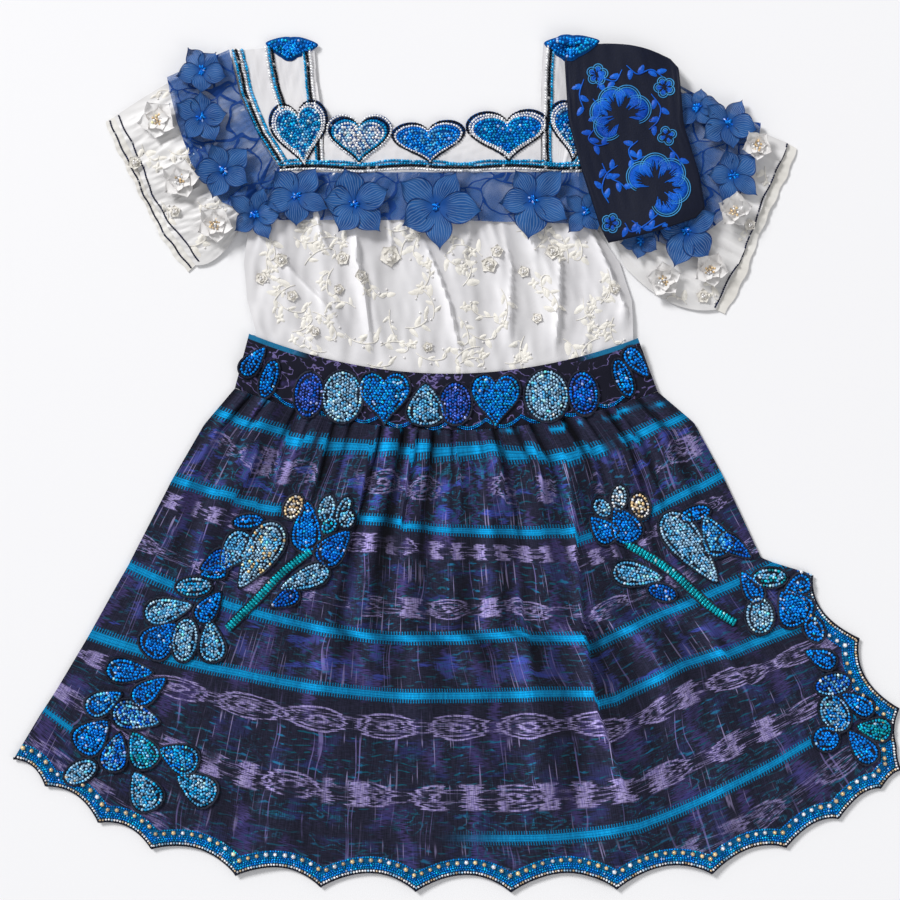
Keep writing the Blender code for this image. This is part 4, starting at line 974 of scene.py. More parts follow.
Pad = namedtuple("Pad", "shape x y length width turn colours")
SKIRT_PADS = [
    Pad("leaf", -180, -84, 66, 27, 238, "silver silver light silver silver gold silver light"),
    Pad("leaf", -202, -80, 38, 22, 232, "light silver light"),
    Pad("leaf", -219, -90, 28, 17, 204, "royal royal blue"),
    Pad("leaf", -221, -99, 22, 11, 190, "blue bright"),
    Pad("oval", -190, -53, 26, 11, 6, "bright blue"),
    Pad("oval", -149, -40, 22, 15, 60, "gold tan white"),
    Pad("leaf", -137, -58, 44, 23, 88, "bright blue bright"),
    Pad("oval", -119, -42, 24, 14, 75, "silver silver light"),
    Pad("leaf", -112, -76, 38, 21, 46, "royal blue blue"),
    Pad("oval", -104, -42, 23, 10, 66, "silver light"),
    Pad("oval", -101, -51, 15, 13, 60, "light silver"),
    Pad("oval", -117, -57, 16, 11, 40, "teal turquoise light"),
    Pad("leaf", -139, -105, 46, 17, 202, "light silver silver"),
    Pad("leaf", -157, -123, 26, 13, 206, "royal blue"),
    Pad("oval", -239, -112, 31, 16, 2, "light turquoise silver"),
    Pad("leaf", -262, -133, 42, 20, 12, "silver light light"),
    Pad("leaf", -225, -130, 31, 16, 52, "bright blue"),
    Pad("leaf", -269, -159, 37, 26, 44, "blue bright blue"),
    Pad("oval", -247, -160, 38, 22, 82, "silver silver light"),
    Pad("leaf", -223, -161, 36, 20, 96, "light light silver"),
    Pad("leaf", -297, -188, 40, 18, -4, "bright blue bright"),
    Pad("leaf", -279, -205, 34, 16, 36, "blue bright"),
    Pad("leaf", -320, -216, 34, 18, 28, "blue bright light"),
    Pad("leaf", -291, -229, 42, 22, -14, "silver light royal"),
    Pad("leaf", -330, -246, 36, 25, 44, "bright blue bright"),
    Pad("leaf", -310, -261, 34, 20, 76, "royal blue light"),
    Pad("leaf", -286, -259, 34, 23, 118, "turquoise light teal"),
    Pad("oval", -341, -279, 30, 18, 30, "silver light"),
    Pad("leaf", -284, -296, 36, 25, 118, "silver light turquoise"),
    Pad("leaf", -253, -266, 36, 23, 156, "turquoise light bright"),
    Pad("leaf", -237, -293, 38, 24, 148, "light turquoise silver"),
    Pad("leaf", 209, -77, 76, 27, -52, "silver silver light"),
    Pad("leaf", 230, -66, 38, 22, 116, "light light bright"),
    Pad("leaf", 249, -76, 32, 13, -34, "royal blue"),
    Pad("oval", 213, -46, 26, 12, 16, "bright blue"),
    Pad("oval", 163, -39, 22, 16, 108, "gold tan white"),
    Pad("oval", 144, -32, 22, 13, 84, "silver silver white"),
    Pad("leaf", 149, -56, 34, 23, 118, "bright blue"),
    Pad("leaf", 129, -60, 28, 17, 134, "blue bright"),
    Pad("oval", 129, -41, 18, 13, 130, "silver light"),
    Pad("leaf", 161, -101, 44, 19, -8, "light silver light"),
    Pad("oval", 183, -117, 25, 13, -16, "royal blue"),
    Pad("oval", 280, -104, 30, 16, 2, "silver teal light"),
    Pad("leaf", 263, -112, 30, 14, 122, "bright blue"),
    Pad("oval", 271, -138, 32, 24, 94, "silver light silver"),
    Pad("leaf", 301, -130, 33, 29, 128, "bright blue bright"),
    Pad("leaf", 305, -111, 23, 15, 204, "blue bright"),
    Pad("oval", 320, -150, 23, 16, 118, "bright blue"),
    Pad("leaf", 326, -176, 28, 14, 156, "blue bright"),
    Pad("oval", 337, -200, 31, 18, 12, "silver light royal"),
    Pad("oval", 339, -226, 34, 25, 118, "silver light bright"),
    Pad("leaf", 359, -217, 31, 14, 148, "bright blue"),
    Pad("leaf", 374, -240, 30, 17, 172, "teal turquoise teal"),
    Pad("oval", 331, -249, 22, 21, 0, "blue bright"),
    Pad("leaf", 363, -256, 34, 17, 130, "bright blue"),
]
FELT_MARGIN = 2.6
PAD_CROWN = 1.9


def pad_outline(pad, grow, steps):
    """A pad's outline, grown by a margin: an ellipse, a leaf that narrows to one end, or a heart."""
    angle = np.linspace(0, 2 * np.pi, steps, endpoint=False)
    half_long, half_wide = pad.length / 2 + grow, pad.width / 2 + grow
    if pad.shape == "heart":
        along = half_wide * np.sin(angle) ** 3
        up = 13 * np.cos(angle) - 5 * np.cos(2 * angle) - 2 * np.cos(3 * angle) - np.cos(4 * angle)
        up = half_long * ((up + 2.5) / 14.5)
    else:
        narrow = 0.55 * np.cos(angle) if pad.shape == "leaf" else 0.0
        along = half_long * np.cos(angle)
        up = half_wide * np.sin(angle) * (1 - narrow)
    return turned(pad.x, pad.y, along, up, math.radians(pad.turn))


def turned(x, y, along, side, heading):
    """Places given along a heading in radians and to its left, from the place that they turn about."""
    cos, sin = math.cos(heading), math.sin(heading)
    return x + along * cos - side * sin, y + along * sin + side * cos


def crown(share):
    """The height of a pad's stuffing: full over its middle, and round down to the felt at its edge."""
    return PAD_CROWN * np.clip(1 - share**3, 0, 1) ** 0.6


def padded(name, pads, tree, steps=36):
    """Felt pads on what carries them: for each, rings from its middle out to a flat margin."""
    verts, faces = [], []
    levels = (0.0, 0.35, 0.6, 0.78, 0.9, 1.0)
    for number, pad in enumerate(pads):
        start = len(verts)
        edge_x, edge_y = pad_outline(pad, 0.0, steps)
        out_x, out_y = pad_outline(pad, FELT_MARGIN, steps)
        base = rest(tree, out_x, out_y)
        middle = rest_at(tree, pad.x, pad.y)
        lay = 0.5 + 0.01 * number
        verts.append((pad.x, pad.y, max(middle, base.mean()) + lay + PAD_CROWN))
        for level in levels[1:]:
            x = pad.x + (edge_x - pad.x) * level
            y = pad.y + (edge_y - pad.y) * level
            z = np.maximum(rest(tree, x, y), 0) + lay + crown(level)
            verts += list(zip(x, y, z))
        verts += list(zip(out_x, out_y, base + lay))
        verts += list(zip(out_x, out_y, base - 0.2))
        rings = len(levels) + 1
        for side in range(steps):
            after = (side + 1) % steps
            faces.append((start, start + 1 + side, start + 1 + after))
            for ring in range(rings - 1):
                low = start + 1 + ring * steps
                faces.append((low + side, low + steps + side, low + steps + after, low + after))
    mesh = bpy.data.meshes.new(name)
    mesh.from_pydata([(a * MM, b * MM, c * MM) for a, b, c in verts], [], faces)
    mesh.shade_smooth()
    return link(name, mesh)


def inside(line, x, y):
    """Whether each place is inside a closed line, by how often a ray to its right crosses the line."""
    start, end = line, np.roll(line, -1, axis=0)
    above = (start[:, 1, None] > y) != (end[:, 1, None] > y)
    slope = (end[:, 0] - start[:, 0]) / np.where(end[:, 1] == start[:, 1], 1e-9, end[:, 1] - start[:, 1])
    at = start[:, 0, None] + (y - start[:, 1, None]) * slope[:, None]
    return (above & (x < at)).sum(0) % 2 == 1


def filled(pad, gap, inset=1.0):
    """Places that fill a pad: a row along its outline, and staggered rows with some play inside it."""
    x, y, _ = spaced(np.stack(pad_outline(pad, -inset, 90), -1), gap, closed=True)
    reach = int(max(pad.length, pad.width) / gap / 1.6) + 1
    column, row = np.meshgrid(np.arange(-reach, reach + 1), np.arange(-reach, reach + 1))
    along = ((column + 0.5 * (row % 2)) * gap * 1.02).ravel()
    out = (row * gap * 0.88).ravel()
    grid_x, grid_y = turned(pad.x, pad.y, along, out, math.radians(pad.turn))
    grid_x = grid_x + bead_chance.normal(0, 0.34, along.size)
    grid_y = grid_y + bead_chance.normal(0, 0.34, along.size)
    keep = inside(np.stack(pad_outline(pad, -inset - 0.8 * gap, 90), -1), grid_x, grid_y)
    return np.concatenate([x, grid_x[keep]]), np.concatenate([y, grid_y[keep]])


def thread(tree, points, radius, sides=5, lay=0.1):
    """A cord along a line of points on what carries it, thinner at its two ends."""
    points = np.asarray(points, dtype=float)
    taper = np.minimum(1, 0.45 + 0.55 * np.sin(np.pi * np.linspace(0.03, 0.97, len(points))) ** 0.5)
    return cord(points, rest(tree, *points.T) + lay + radius * 0.4, radius * taper, sides)


def bead_pads(name, pads, felt_piece, gap=2.8, radius=1.42, corded=True):
    """All the beads of a group of pads, in one mesh, and a dark cord with knots round each pad."""
    tree = tree_of(felt_piece)
    filling, cords = [], []
    for pad in pads:
        x, y = filled(pad, gap)
        sizes = radius * bead_chance.uniform(0.8, 1.12, x.size)
        filling.append((x, y, sizes, shades(pad.colours.split(), x.size)))
        if corded:
            grow = 1.5 + 0.25 * np.sin(np.arange(60) * 2.1)
            cords.append(thread(tree, np.stack(pad_outline(pad, grow, 60), -1), 1.15))
    x, y, r, tint = map(np.concatenate, zip(*filling))
    turn = bead_chance.uniform(0, np.pi, x.size)
    beads(name, x, y, rest(tree, x, y) + 0.3 * r, r, tint, glass, turn, 1.28)
    if corded:
        dress_with(joined(name + "_cords", cords), cord_felt, "blue_beads")


SKIRT_STEMS = [
    [(-135, -80), (-159, -99), (-181, -122), (-208, -149)],
    [(151, -73), (187, -95), (212, -117), (229, -132), (248, -144)],
]
STEM_SIDE = 3.9
STEM_LANE = 1.7

spray_felt = padded("spray_felt", SKIRT_PADS, skirt_tree)
dress_with(
    spray_felt, felt, "blue_beads",
    "left_blossom_spray", "left_leaf_spray", "right_blossom_spray", "right_leaf_spray",
)
bead_pads("spray_beads", SKIRT_PADS, spray_felt)


def smooth_line(points, steps):
    """A smooth line through a few points, by a Catmull-Rom spline."""
    points = np.asarray(points, dtype=float)
    points = np.concatenate([2 * points[:1] - points[1:2], points, 2 * points[-1:] - points[-2:-1]])
    pieces = []
    for n in range(len(points) - 3):
        a, b, c, d = points[n : n + 4]
        t = np.linspace(0, 1, steps, endpoint=False)[:, None]
        bend = (2 * a - 5 * b + 4 * c - d) * t**2 + (3 * b - a - 3 * c + d) * t**3
        pieces.append(0.5 * (2 * b + (c - a) * t + bend))
    return np.concatenate(pieces + [points[-2:-1]])


stem_parts = []
stem_sides = []
for stem in SKIRT_STEMS:
    line = smooth_line(stem, 12)
    x, y, heading = spaced(line, 1.6)
    for side in (-STEM_SIDE, STEM_SIDE):
        stem_side = np.stack([x - np.sin(heading) * side, y + np.cos(heading) * side], -1)
        stem_sides.append(thread(skirt_tree, stem_side, 0.95, 5, 0.5))
    x, y, heading = spaced(line, 2.9)
    for lane in (-1, 0, 1):
        side = lane * STEM_LANE
        place = (x - np.sin(heading) * side, y + np.cos(heading) * side)
        stem_parts.append((*place, heading + 0.9 * np.cos(lane), np.full(x.shape, 2.0 - 0.7 * abs(lane))))
x, y, along, lift = map(np.concatenate, zip(*stem_parts))
height = rest(skirt_tree, x, y) + lift
beads("stem_beads", x, y, height, 1.45, shades(["teal"], len(x), 0.3), glass, along + 1.2, 1.7)
dress_with(joined("stem_cords", stem_sides), cord_felt, "blue_beads")

# The waistband
# A plain band of the same cotton, which covers the tops of the skirt and the end of the blouse that
# is tucked in. Its back lies under the blouse.

BAND_TOP = Section("band_top", -189, 116, 161, 112, 80, 2.0)


def band_place(across, down):
    rows = [BAND_TOP, SKIRT_SECTIONS[0]]
    top_x, top_y = along_sections(rows, across, np.zeros_like(down))
    low_x, low_y = along_sections(rows, across, np.ones_like(down))
    return top_x + (low_x - top_x) * down, top_y + (low_y + 0.3 - top_y) * down


def on_solid(name, x, y, passes=3):
    """The height of a solid's outer face at each place of a grid, evened out."""
    return evened(rest(tree_of(nodes[name]), x, y), passes)


def cloth_over(node, kind, places, passes, material, slot, relief=0.0, wall=WALL):
    """A shell over the whole of a solid, at the height of its outer face with some relief added.

    Its places are x, y and the panel's shares, and its name is the solid's with a kind of cloth.
    """
    x, y, u, v = places
    patch = (x, y, on_solid(node, x, y, passes) + relief, u, v)
    return dress_with(shells(f"{node}_{kind}", [patch], wall), material, slot, node)


def band_material(name):
    """Charcoal cotton with violet patches, lavender branches and a turquoise top edge at both ends."""
    s = Shader(name, roughness=0.85, Specular_IOR_Level=0.12)
    u, v = s.panel()
    across, down = s.times(u, 350.0), s.times(v, 50.0)
    thread = s.stretched(across, 1.2, down, 0.4)
    patch = s.noise(s.place(s.times(across, 0.05), s.times(down, 0.05)), 1.0, 3.0, 0.6)
    branch = s.apart(s.stretched(across, 0.075, down, 0.09, 4.0, 2.0), 0.5)
    branch = s.times(s.soft(branch, 0.022, 0.008), s.soft(patch, 0.40, 0.52))
    colour = s.tint(s.times(s.soft(patch, 0.56, 0.70), 0.5), (0.010, 0.010, 0.020), VIOLET)
    colour = s.tint(s.times(branch, 0.8), colour, LAVENDER)
    ends = s.soft(s.apart(u, 0.5), 0.34, 0.40)
    stripe = s.times(ends, s.soft(down, 4.6, 4.0), s.soft(thread, 0.2, 0.4))
    colour = s.tint(stripe, colour, (0.012, 0.15, 0.30))
    return s.finish(colour, thread, 0.0005, 0.6)


band_cotton = band_material("band_cotton")
u, v = grid(220, 26)
x, y = band_place(u, v)
puckers = 0.7 * np.sin(2 * np.pi * 37 * u + 2 * np.sin(9 * u)) * np.exp(-(1 - v) / 0.16)
band_front = cloth_over("waistband_front", "cloth", (x, y, u, v), 3, band_cotton, "corte_cotton", puckers)

u, v = grid(60, 8)
x, y = band_place(u, v)
x, y = -14 + (x + 14) * 0.98, 72 + (y - 72) * 0.98
band_back = cloth_over("waistband_back", "cloth", (x, y, u, v), 3, band_cotton, "corte_cotton", 0.0, 1.6)

# The blouse
# White satin, gathered into the yoke and tucked into the waistband, with soft folds between. Its back
# is plain.

BLOUSE_SECTIONS = [
    Section("yoke_seam", -157, 260, 118, 262, 261, 2.0),
    Section("underarm", -188, 223, 120, 216, 222, 2.0),
    Section("bust", -194, 180, 145, 180, 178, 2.0),
    Section("rib", -191, 146, 156, 146, 136, 2.0),
    Section("waist", -183, 118, 157, 114, 84, 2.0),
    Section("tucked_end", -184, 92, 158, 88, 55, 2.0),
]
BLOUSE_CREASES = [
    Crease([(-93, 222), (-91, 180), (-84, 150), (-76, 84)], 4.2, 13, 0),
    Crease([(-36, 212), (-18, 169), (-8, 141), (6, 76)], 4.6, 14, 0),
    Crease([(92, 200), (91, 150), (86, 84)], 3.2, 12, 0),
    Crease([(108, 236), (133, 180), (150, 140), (156, 112)], 4.0, 14, 0),
    Crease([(-176, 210), (-150, 172), (-118, 140), (-100, 112)], 2.6, 13, 0),
    Crease([(-130, 240), (-124, 205), (-110, 178)], 2.2, 10, 0),
    Crease([(36, 226), (48, 176), (46, 128), (50, 78)], 2.6, 15, 0),
    Crease([(-66, 238), (-60, 200), (-62, 168)], 2.4, 10, 0),
    Crease([(8, 234), (10, 204), (2, 178)], 2.2, 9, 0),
    Crease([(68, 236), (66, 204), (72, 178)], 2.4, 9, 0),
    Crease([(-150, 120), (-128, 104), (-108, 92)], 1.8, 8, 0),
    Crease([(112, 150), (118, 122), (112, 96)], 2.0, 9, 0),
]


def satin_material(name, colour, shade, roughness=0.38, scale=1400.0):
    """Thin shining cloth over a lining: a fine weave, slight clouds where the two lie apart, painted shade
    in troughs and painted light on ridges.
    """
    s = Shader(name, roughness, Sheen_Weight=0.1, Sheen_Roughness=0.35, Specular_IOR_Level=0.35)
    place = s.object_place()
    clouds = s.noise(place, 22.0, 3.0)
    weave = s.noise(place, scale, 0.0)
    ripple = s.noise(place, 90.0, 2.0)
    height = s.plus(s.times(weave, 0.15), ripple)
    # The fold values add painted shade in the troughs and painted light on the ridges.
    return s.finish(
        s.painted_fold_shade(s.tint(s.soft(clouds, 0.3, 0.7), shade, colour), 0.62, 1.15), height, 0.0007, 0.35
    )


satin = satin_material("white_satin", (0.85, 0.835, 0.85), (0.76, 0.745, 0.765))
u, v = grid(180, 128)
x, y = along_sections(BLOUSE_SECTIONS, u, v)
laps, _ = creased(BLOUSE_CREASES, x, y)
gathers = 0.9 * np.sin(2 * np.pi * 23 * u + 3 * np.sin(7 * u)) * np.exp(-v / 0.16)
tucks = 0.6 * np.sin(2 * np.pi * 19 * u + 2 * np.sin(11 * u)) * np.exp(-np.abs(v - 0.85) / 0.1)
relief = (
    laps + gathers + tucks + 0.55 * wrinkles(u, v, 9, 16, 0.4)
) * edge_fade(u, 0.03) * smooth_step((1.02 - v) / 0.3)
top = on_solid("blouse_front", x, y, 8) + 1.7 * relief
# Painted shade for the blouse's colour: low in its troughs and high on its ridges.
blouse_painted_shade = evened(0.5 * hollows(top, 6, 4.0) + 0.5 * hollows(top, 20, 8.0), 2)
blouse_front = shells("blouse_front_satin", [(x, y, top, u, v)], WALL, blouse_painted_shade)
dress_with(blouse_front, satin, "white_satin", "blouse_front")

BACK_NECK = 291
back_rows = [Section("neck", -121, BACK_NECK, 77, BACK_NECK, BACK_NECK, 2.0)] + BLOUSE_SECTIONS
u, v = grid(70, 60)
x, y = along_sections(back_rows, u, v)
blouse_back = cloth_over("blouse_back", "satin", (x * 0.985, y, u, v), 6, satin, "white_satin")

# The yoke
# Two straps and a bib of the white satin. A strip of cloth has rows, each with its share of the way
# down, its near and its far edge, and how much it bows up in its middle. A strap's near edge is its
# outer one.

Row = namedtuple("Row", "share near_x near_y far_x far_y bulge", defaults=[0])
STRAPS = {
    "left": [
        Row(0.00, -206, 371, -131, 378),
        Row(0.33, -197, 335, -128, 342),
        Row(0.66, -181, 297, -123, 304),
        Row(1.00, -159, 266, -122, 269),
    ],
    "right": [
        Row(0.00, 152, 371, 76, 378),
        Row(0.33, 146, 335, 74, 342),
        Row(0.66, 130, 297, 74, 304),
        Row(1.00, 109, 266, 77, 269),
    ],
}
BibPlace = namedtuple("BibPlace", "share top_y")
BIB_TOP = [
    BibPlace(0.00, 306),
    BibPlace(0.30, 304),
    BibPlace(0.48, 293),
    BibPlace(0.62, 297),
    BibPlace(0.85, 308),
    BibPlace(1.00, 304),
]
BIB_LEFT, BIB_RIGHT, BIB_BOTTOM = -121.7, 73.7, 268.5


def between(rows, out, down, bow=1):
    """A place on a strip: down its table of rows, and out from its near edge to its far one."""
    shares = [row.share for row in rows]
    read = {f: np.interp(down, shares, [getattr(row, f) for row in rows]) for f in Row._fields[1:]}
    x = read["near_x"] + (read["far_x"] - read["near_x"]) * out
    y = read["near_y"] + (read["far_y"] - read["near_y"]) * out
    return x, y + bow * read["bulge"] * 4 * out * (1 - out)


yoke_pieces = []
for side, rows in STRAPS.items():
    u, v = grid(48, 70)
    x, y = between(rows, u, v)
    relief = 0.5 * wrinkles(u, v, 5, 9, 0.3)
    strap = cloth_over(f"strap_front_{side}", "satin", (x, y, u, v), 6, satin, "white_satin", relief)
    yoke_pieces.append(strap)
    u, v = grid(12, 16)
    x, y = between(rows, 0.03 + 0.94 * u, 0.02 + 0.64 * v)
    back = cloth_over(f"strap_back_{side}", "satin", (x, y, u, v), 2, satin, "white_satin")
u, v = grid(90, 22)
top = np.interp(u, [row.share for row in BIB_TOP], [row.top_y for row in BIB_TOP])
x, y = BIB_LEFT + u * (BIB_RIGHT - BIB_LEFT), top + v * (BIB_BOTTOM - top)
bib = cloth_over(
    "bib_front", "satin", (x, y, u, v), 6, satin, "white_satin", 0.3 * wrinkles(u, v, 3, 8, 0.5)
)
yoke_pieces.append(bib)

# The sleeves
# Short full sleeves of white voile, gathered at both ends, each with a narrow cream cuff. A sleeve's
# near edge is its seam, and its far edge is at the cuff.

SLEEVES = {
    "left": [
        Row(0.00, -207, 370, -311, 312, 3),
        Row(0.25, -197, 327, -294, 276, 2),
        Row(0.50, -178, 288, -280, 241),
        Row(0.75, -162, 261, -260, 208, -5),
        Row(1.00, -194, 217, -238, 178, -11),
    ],
    "right": [
        Row(0.00, 153, 370, 297, 288, -7),
        Row(0.25, 148, 327, 282, 253, -3),
        Row(0.50, 131, 288, 267, 214),
        Row(0.75, 121, 258, 251, 177, -5),
        Row(1.00, 149, 177, 232, 138, -13),
    ],
}
CUFF_DEPTH = 9.0


def cuff_place(rows, out, down):
    """A place on the cuff, whose free edge waves a little."""
    x, y = between(rows, np.ones_like(out), down)
    seam_x, seam_y = between(rows, np.zeros_like(out), down)
    far = np.hypot(x - seam_x, y - seam_y)
    wave = 1.6 * np.sin(2 * np.pi * 1.5 * down) + 0.7 * np.sin(2 * np.pi * 7 * down)
    beyond = out * (CUFF_DEPTH + wave)
    return x + (x - seam_x) / far * beyond, y + (y - seam_y) / far * beyond


voile = satin_material("white_voile", (0.90, 0.885, 0.88), (0.80, 0.785, 0.78), 0.5, 1100.0)
cream = satin_material("cream_cuff", (0.88, 0.86, 0.82), (0.78, 0.75, 0.70), 0.6, 1500.0)
sleeve_pieces = []
cuff_pieces = []
for side, rows in SLEEVES.items():
    u, v = grid(64, 86)
    x, y = between(rows, u, v)
    fade = np.sin(np.pi * v) ** 0.5
    puckers = 0.9 * np.sin(2 * np.pi * 13 * v + 2 * np.sin(8 * v)) * (
        np.exp(-u / 0.25) + np.exp(-(1 - u) / 0.22)
    )
    relief = (0.8 * puckers + 1.3 * wrinkles(v, u, 12 if side == "left" else 21, 11, 0.6)) * fade
    top = np.maximum(on_solid(f"sleeve_front_{side}", x, y, 8) + 1.1 * relief, 2.4)
    # Painted shade for the sleeve's colour: low in its troughs and high on its ridges.
    shade = evened(hollows(top.T, 8, 5.5).T, 2)
    sleeve = shells(f"sleeve_front_{side}_voile", [(x, y, top, u, v)], WALL, shade)
    dress_with(sleeve, voile, "white_voile", f"sleeve_front_{side}")
    sleeve_pieces.append(sleeve)
    u, v = grid(20, 26)
    x, y = between(rows, 0.02 + 0.96 * u, 0.02 + 0.96 * v)
    back = cloth_over(f"sleeve_back_{side}", "voile", (x, y, u, v), 3, voile, "white_voile", wall=0.7)
    u, v = grid(8, 110)
    x, y = cuff_place(rows, u, v)
    puckers = 0.4 * np.sin(2 * np.pi * 21 * v) * np.sin(np.pi * v) ** 0.5
    cuff = cloth_over(f"cuff_{side}", "cotton", (x, y, u, v), 4, cream, "white_voile", puckers)
    cuff_pieces.append(cuff)

# The organza flounces
# Sheer slate-blue organza with darker outlines couched on it. A flounce's near edge is sewn to the
# yoke, and its far edge is free. The back's flounces lie under the sleeves and the blouse.

FLOUNCES = {
    "left": [
        Row(0.00, -207, 372, -263, 347),
        Row(0.30, -197, 330, -254, 308),
        Row(0.60, -180, 294, -240, 268),
        Row(0.80, -168, 274, -213, 234),
        Row(1.00, -158.5, 262, -180, 219),
    ],
    "front": [
        Row(0.00, -157.5, 261, -178.5, 218),
        Row(0.50, -20, 261, -22, 218),
        Row(1.00, 117, 261, 141, 214),
    ],
    "right": [
        Row(0.00, 153, 370, 272, 306, -12),
        Row(0.30, 148, 330, 264, 262, -4),
        Row(0.60, 133, 294, 242, 222),
        Row(0.80, 124, 274, 200, 190),
        Row(1.00, 118, 262, 142.5, 213),
    ],
}
FLOUNCE_SIZES = {"left": (0.165, 0.06, 0.0095), "front": (0.3, 0.046, None), "right": (0.15, 0.12, 0.0125)}


def organza_material(name):
    """Sheer blue organza: lighter where one layer shows, with dark couched outlines in loose loops."""
    s = Shader(name, roughness=0.5, Sheen_Weight=0.05, Specular_IOR_Level=0.12)
    place = s.object_place()
    drift = s.put("ShaderNodeTexNoise")
    drift.inputs["Scale"].default_value = 30.0
    drift.inputs["Detail"].default_value = 1.0
    s.feed(drift.inputs["Vector"], place)
    warp = s.put("ShaderNodeVectorMath", operation="MULTIPLY_ADD")
    s.feed(warp.inputs[0], drift.outputs["Color"])
    warp.inputs[1].default_value = (0.045, 0.045, 0.0)
    s.feed(warp.inputs[2], place)
    flat = s.put("ShaderNodeVectorMath", operation="MULTIPLY")
    s.feed(flat.inputs[0], warp.outputs[0])
    flat.inputs[1].default_value = (1.0, 1.0, 0.0)
    cell = s.put("ShaderNodeTexVoronoi", feature="DISTANCE_TO_EDGE")
    cell.inputs["Scale"].default_value = 44.0
    s.feed(cell.inputs["Vector"], flat.outputs[0])
    outline = s.soft(cell.outputs["Distance"], 0.050, 0.028)
    broad = s.noise(place, 26.0, 2.0)
    colour = s.tint(s.soft(broad, 0.35, 0.65), (0.10, 0.20, 0.47), (0.03, 0.12, 0.38))
    colour = s.tint(outline, colour, (0.006, 0.045, 0.22))
    alpha = s.most(s.plus(0.24, s.times(s.soft(broad, 0.30, 0.62), 0.32)), outline)
    s.feed(s.main.inputs["Alpha"], alpha)
    return s.finish(colour, s.plus(outline, s.noise(place, 1200.0, 0.0)), 0.0006, 0.5)


organza = organza_material("blue_organza")
flounce_pieces = []
for side, rows in FLOUNCES.items():
    width, length, area = FLOUNCE_SIZES[side]
    u, v = grid(30, 130)
    x, y = between(rows, u, v)
    ripple = (
        0.8 * np.sin(2 * np.pi * 9 * v + 3 * np.sin(6 * v)) * u + 0.5 * wrinkles(v, u, 31, 10, 0.5)
    ) * edge_fade(v, 0.05)
    flounce = cloth_over(
        f"flounce_{side}", "organza", (x, y, u, v), 6, organza, "blue_organza", ripple, 0.3
    )
    flounce_pieces.append(flounce)
    name = "flounce_back" if side == "front" else f"flounce_back_{side}"
    u, v = grid(12, 50)
    x, y = between(rows, 0.03 + 0.94 * u, 0.03 + 0.94 * v, 0)
    back = shells(f"{name}_organza", [(x, y, np.full_like(x, 0.9), u, v)], 0.5)
    dress_with(back, organza, "blue_organza", name)

# The organza blossoms
# Five broad petals of a darker organza for each, with pale veins that fan out from the middle, a dark
# stitched edge, and a knot of bright blue thread.

Blossom = namedtuple("Blossom", "x y radius turn")
ORGANZA_BLOSSOMS = [
    Blossom(-231, 352, 24, 20),
    Blossom(-231, 310, 26, 50),
    Blossom(-211, 262, 28, 5),
    Blossom(-183, 222, 25, 40),
    Blossom(-146, 239, 29, 15),
    Blossom(-94, 232, 32, 62),
    Blossom(-20, 230, 37, 30),
    Blossom(66, 236, 34, 10),
    Blossom(114, 225, 22, 44),
    Blossom(214, 318, 22, 50),
    Blossom(241, 305, 27, 26),
    Blossom(246, 258, 27, 0),
    Blossom(204, 208, 31, 65),
    Blossom(163, 199, 19, 8),
]
PETALS = 5


def petal(tree, flower, number, length, width, rise, rows=16, columns=14, lay=0.6):
    """One petal as a patch: its half width is a skewed sine of the way out, and its edges curl up."""
    t, s = grid(columns, rows)
    t = 2 * t - 1
    heading = math.radians(flower.turn + 36 + 72 * number)
    half = width / 2 * np.sin(np.pi * np.clip(s, 0, 1) ** 0.95) ** (0.65 + 0.75 * s**3)
    far = length * (0.04 + 0.96 * s - 0.05 * t**2 * s)
    side = half * t + 0.5 * np.sin(7 * s + number) * t**2
    x, y = turned(flower.x, flower.y, far, side, heading)
    base = evened(rest(tree, x, y), 3)
    wave = 0.6 * np.sin(5 * s + 2.4 * number) * t
    z = base + lay + 0.25 * number + rise * (0.35 * s + 0.65 * s * t**2 + wave * s)
    return x, y, z, t, s + 0.0 * t


def petal_material(name):
    """Blue organza with pale veins along each petal that spread from its foot, painted shade in the creases
    between the veins, and a dark edge.
    """
    s = Shader(name, roughness=0.5, Sheen_Weight=0.05, Specular_IOR_Level=0.12)
    t, out = s.panel()
    wobble = s.less(s.stretched(t, 2.2, out, 3.0), 0.5)
    fan = s.sum("DIVIDE", t, s.plus(0.55, s.times(out, 0.55)))
    wave = s.sum("SINE", s.times(s.plus(fan, s.times(wobble, 0.3)), math.pi * 10.0))
    vein = s.times(s.soft(wave, 0.66, 0.98), s.soft(out, 0.12, 0.30), s.soft(out, 0.95, 0.70))
    # Painted shade in the creases between the veins.
    crease = s.times(s.soft(wave, -0.65, -0.95), s.soft(out, 0.05, 0.2))
    side = s.sum("ABSOLUTE", t)
    edge = s.most(s.soft(side, 0.90, 0.97), s.soft(out, 0.93, 0.98))
    broad = s.noise(s.object_place(), 60.0, 2.0)
    colour = s.tint(s.soft(broad, 0.3, 0.7), (0.010, 0.080, 0.30), (0.032, 0.150, 0.44))
    colour = s.tint(s.times(s.soft(out, 0.35, 0.0), 0.6), colour, (0.004, 0.055, 0.30))
    colour = s.tint(s.times(vein, 0.72), colour, (0.30, 0.44, 0.72))
    # The creases between the veins get their painted shade.
    colour = s.tint(s.times(crease, 0.35), colour, (0.003, 0.03, 0.15))
    colour = s.tint(edge, colour, (0.004, 0.03, 0.16))
    s.feed(s.main.inputs["Alpha"], s.most(edge, s.less(0.80, s.times(vein, 0.2))))
    return s.finish(colour, s.plus(s.times(vein, 0.6), edge), 0.0009, 0.8)


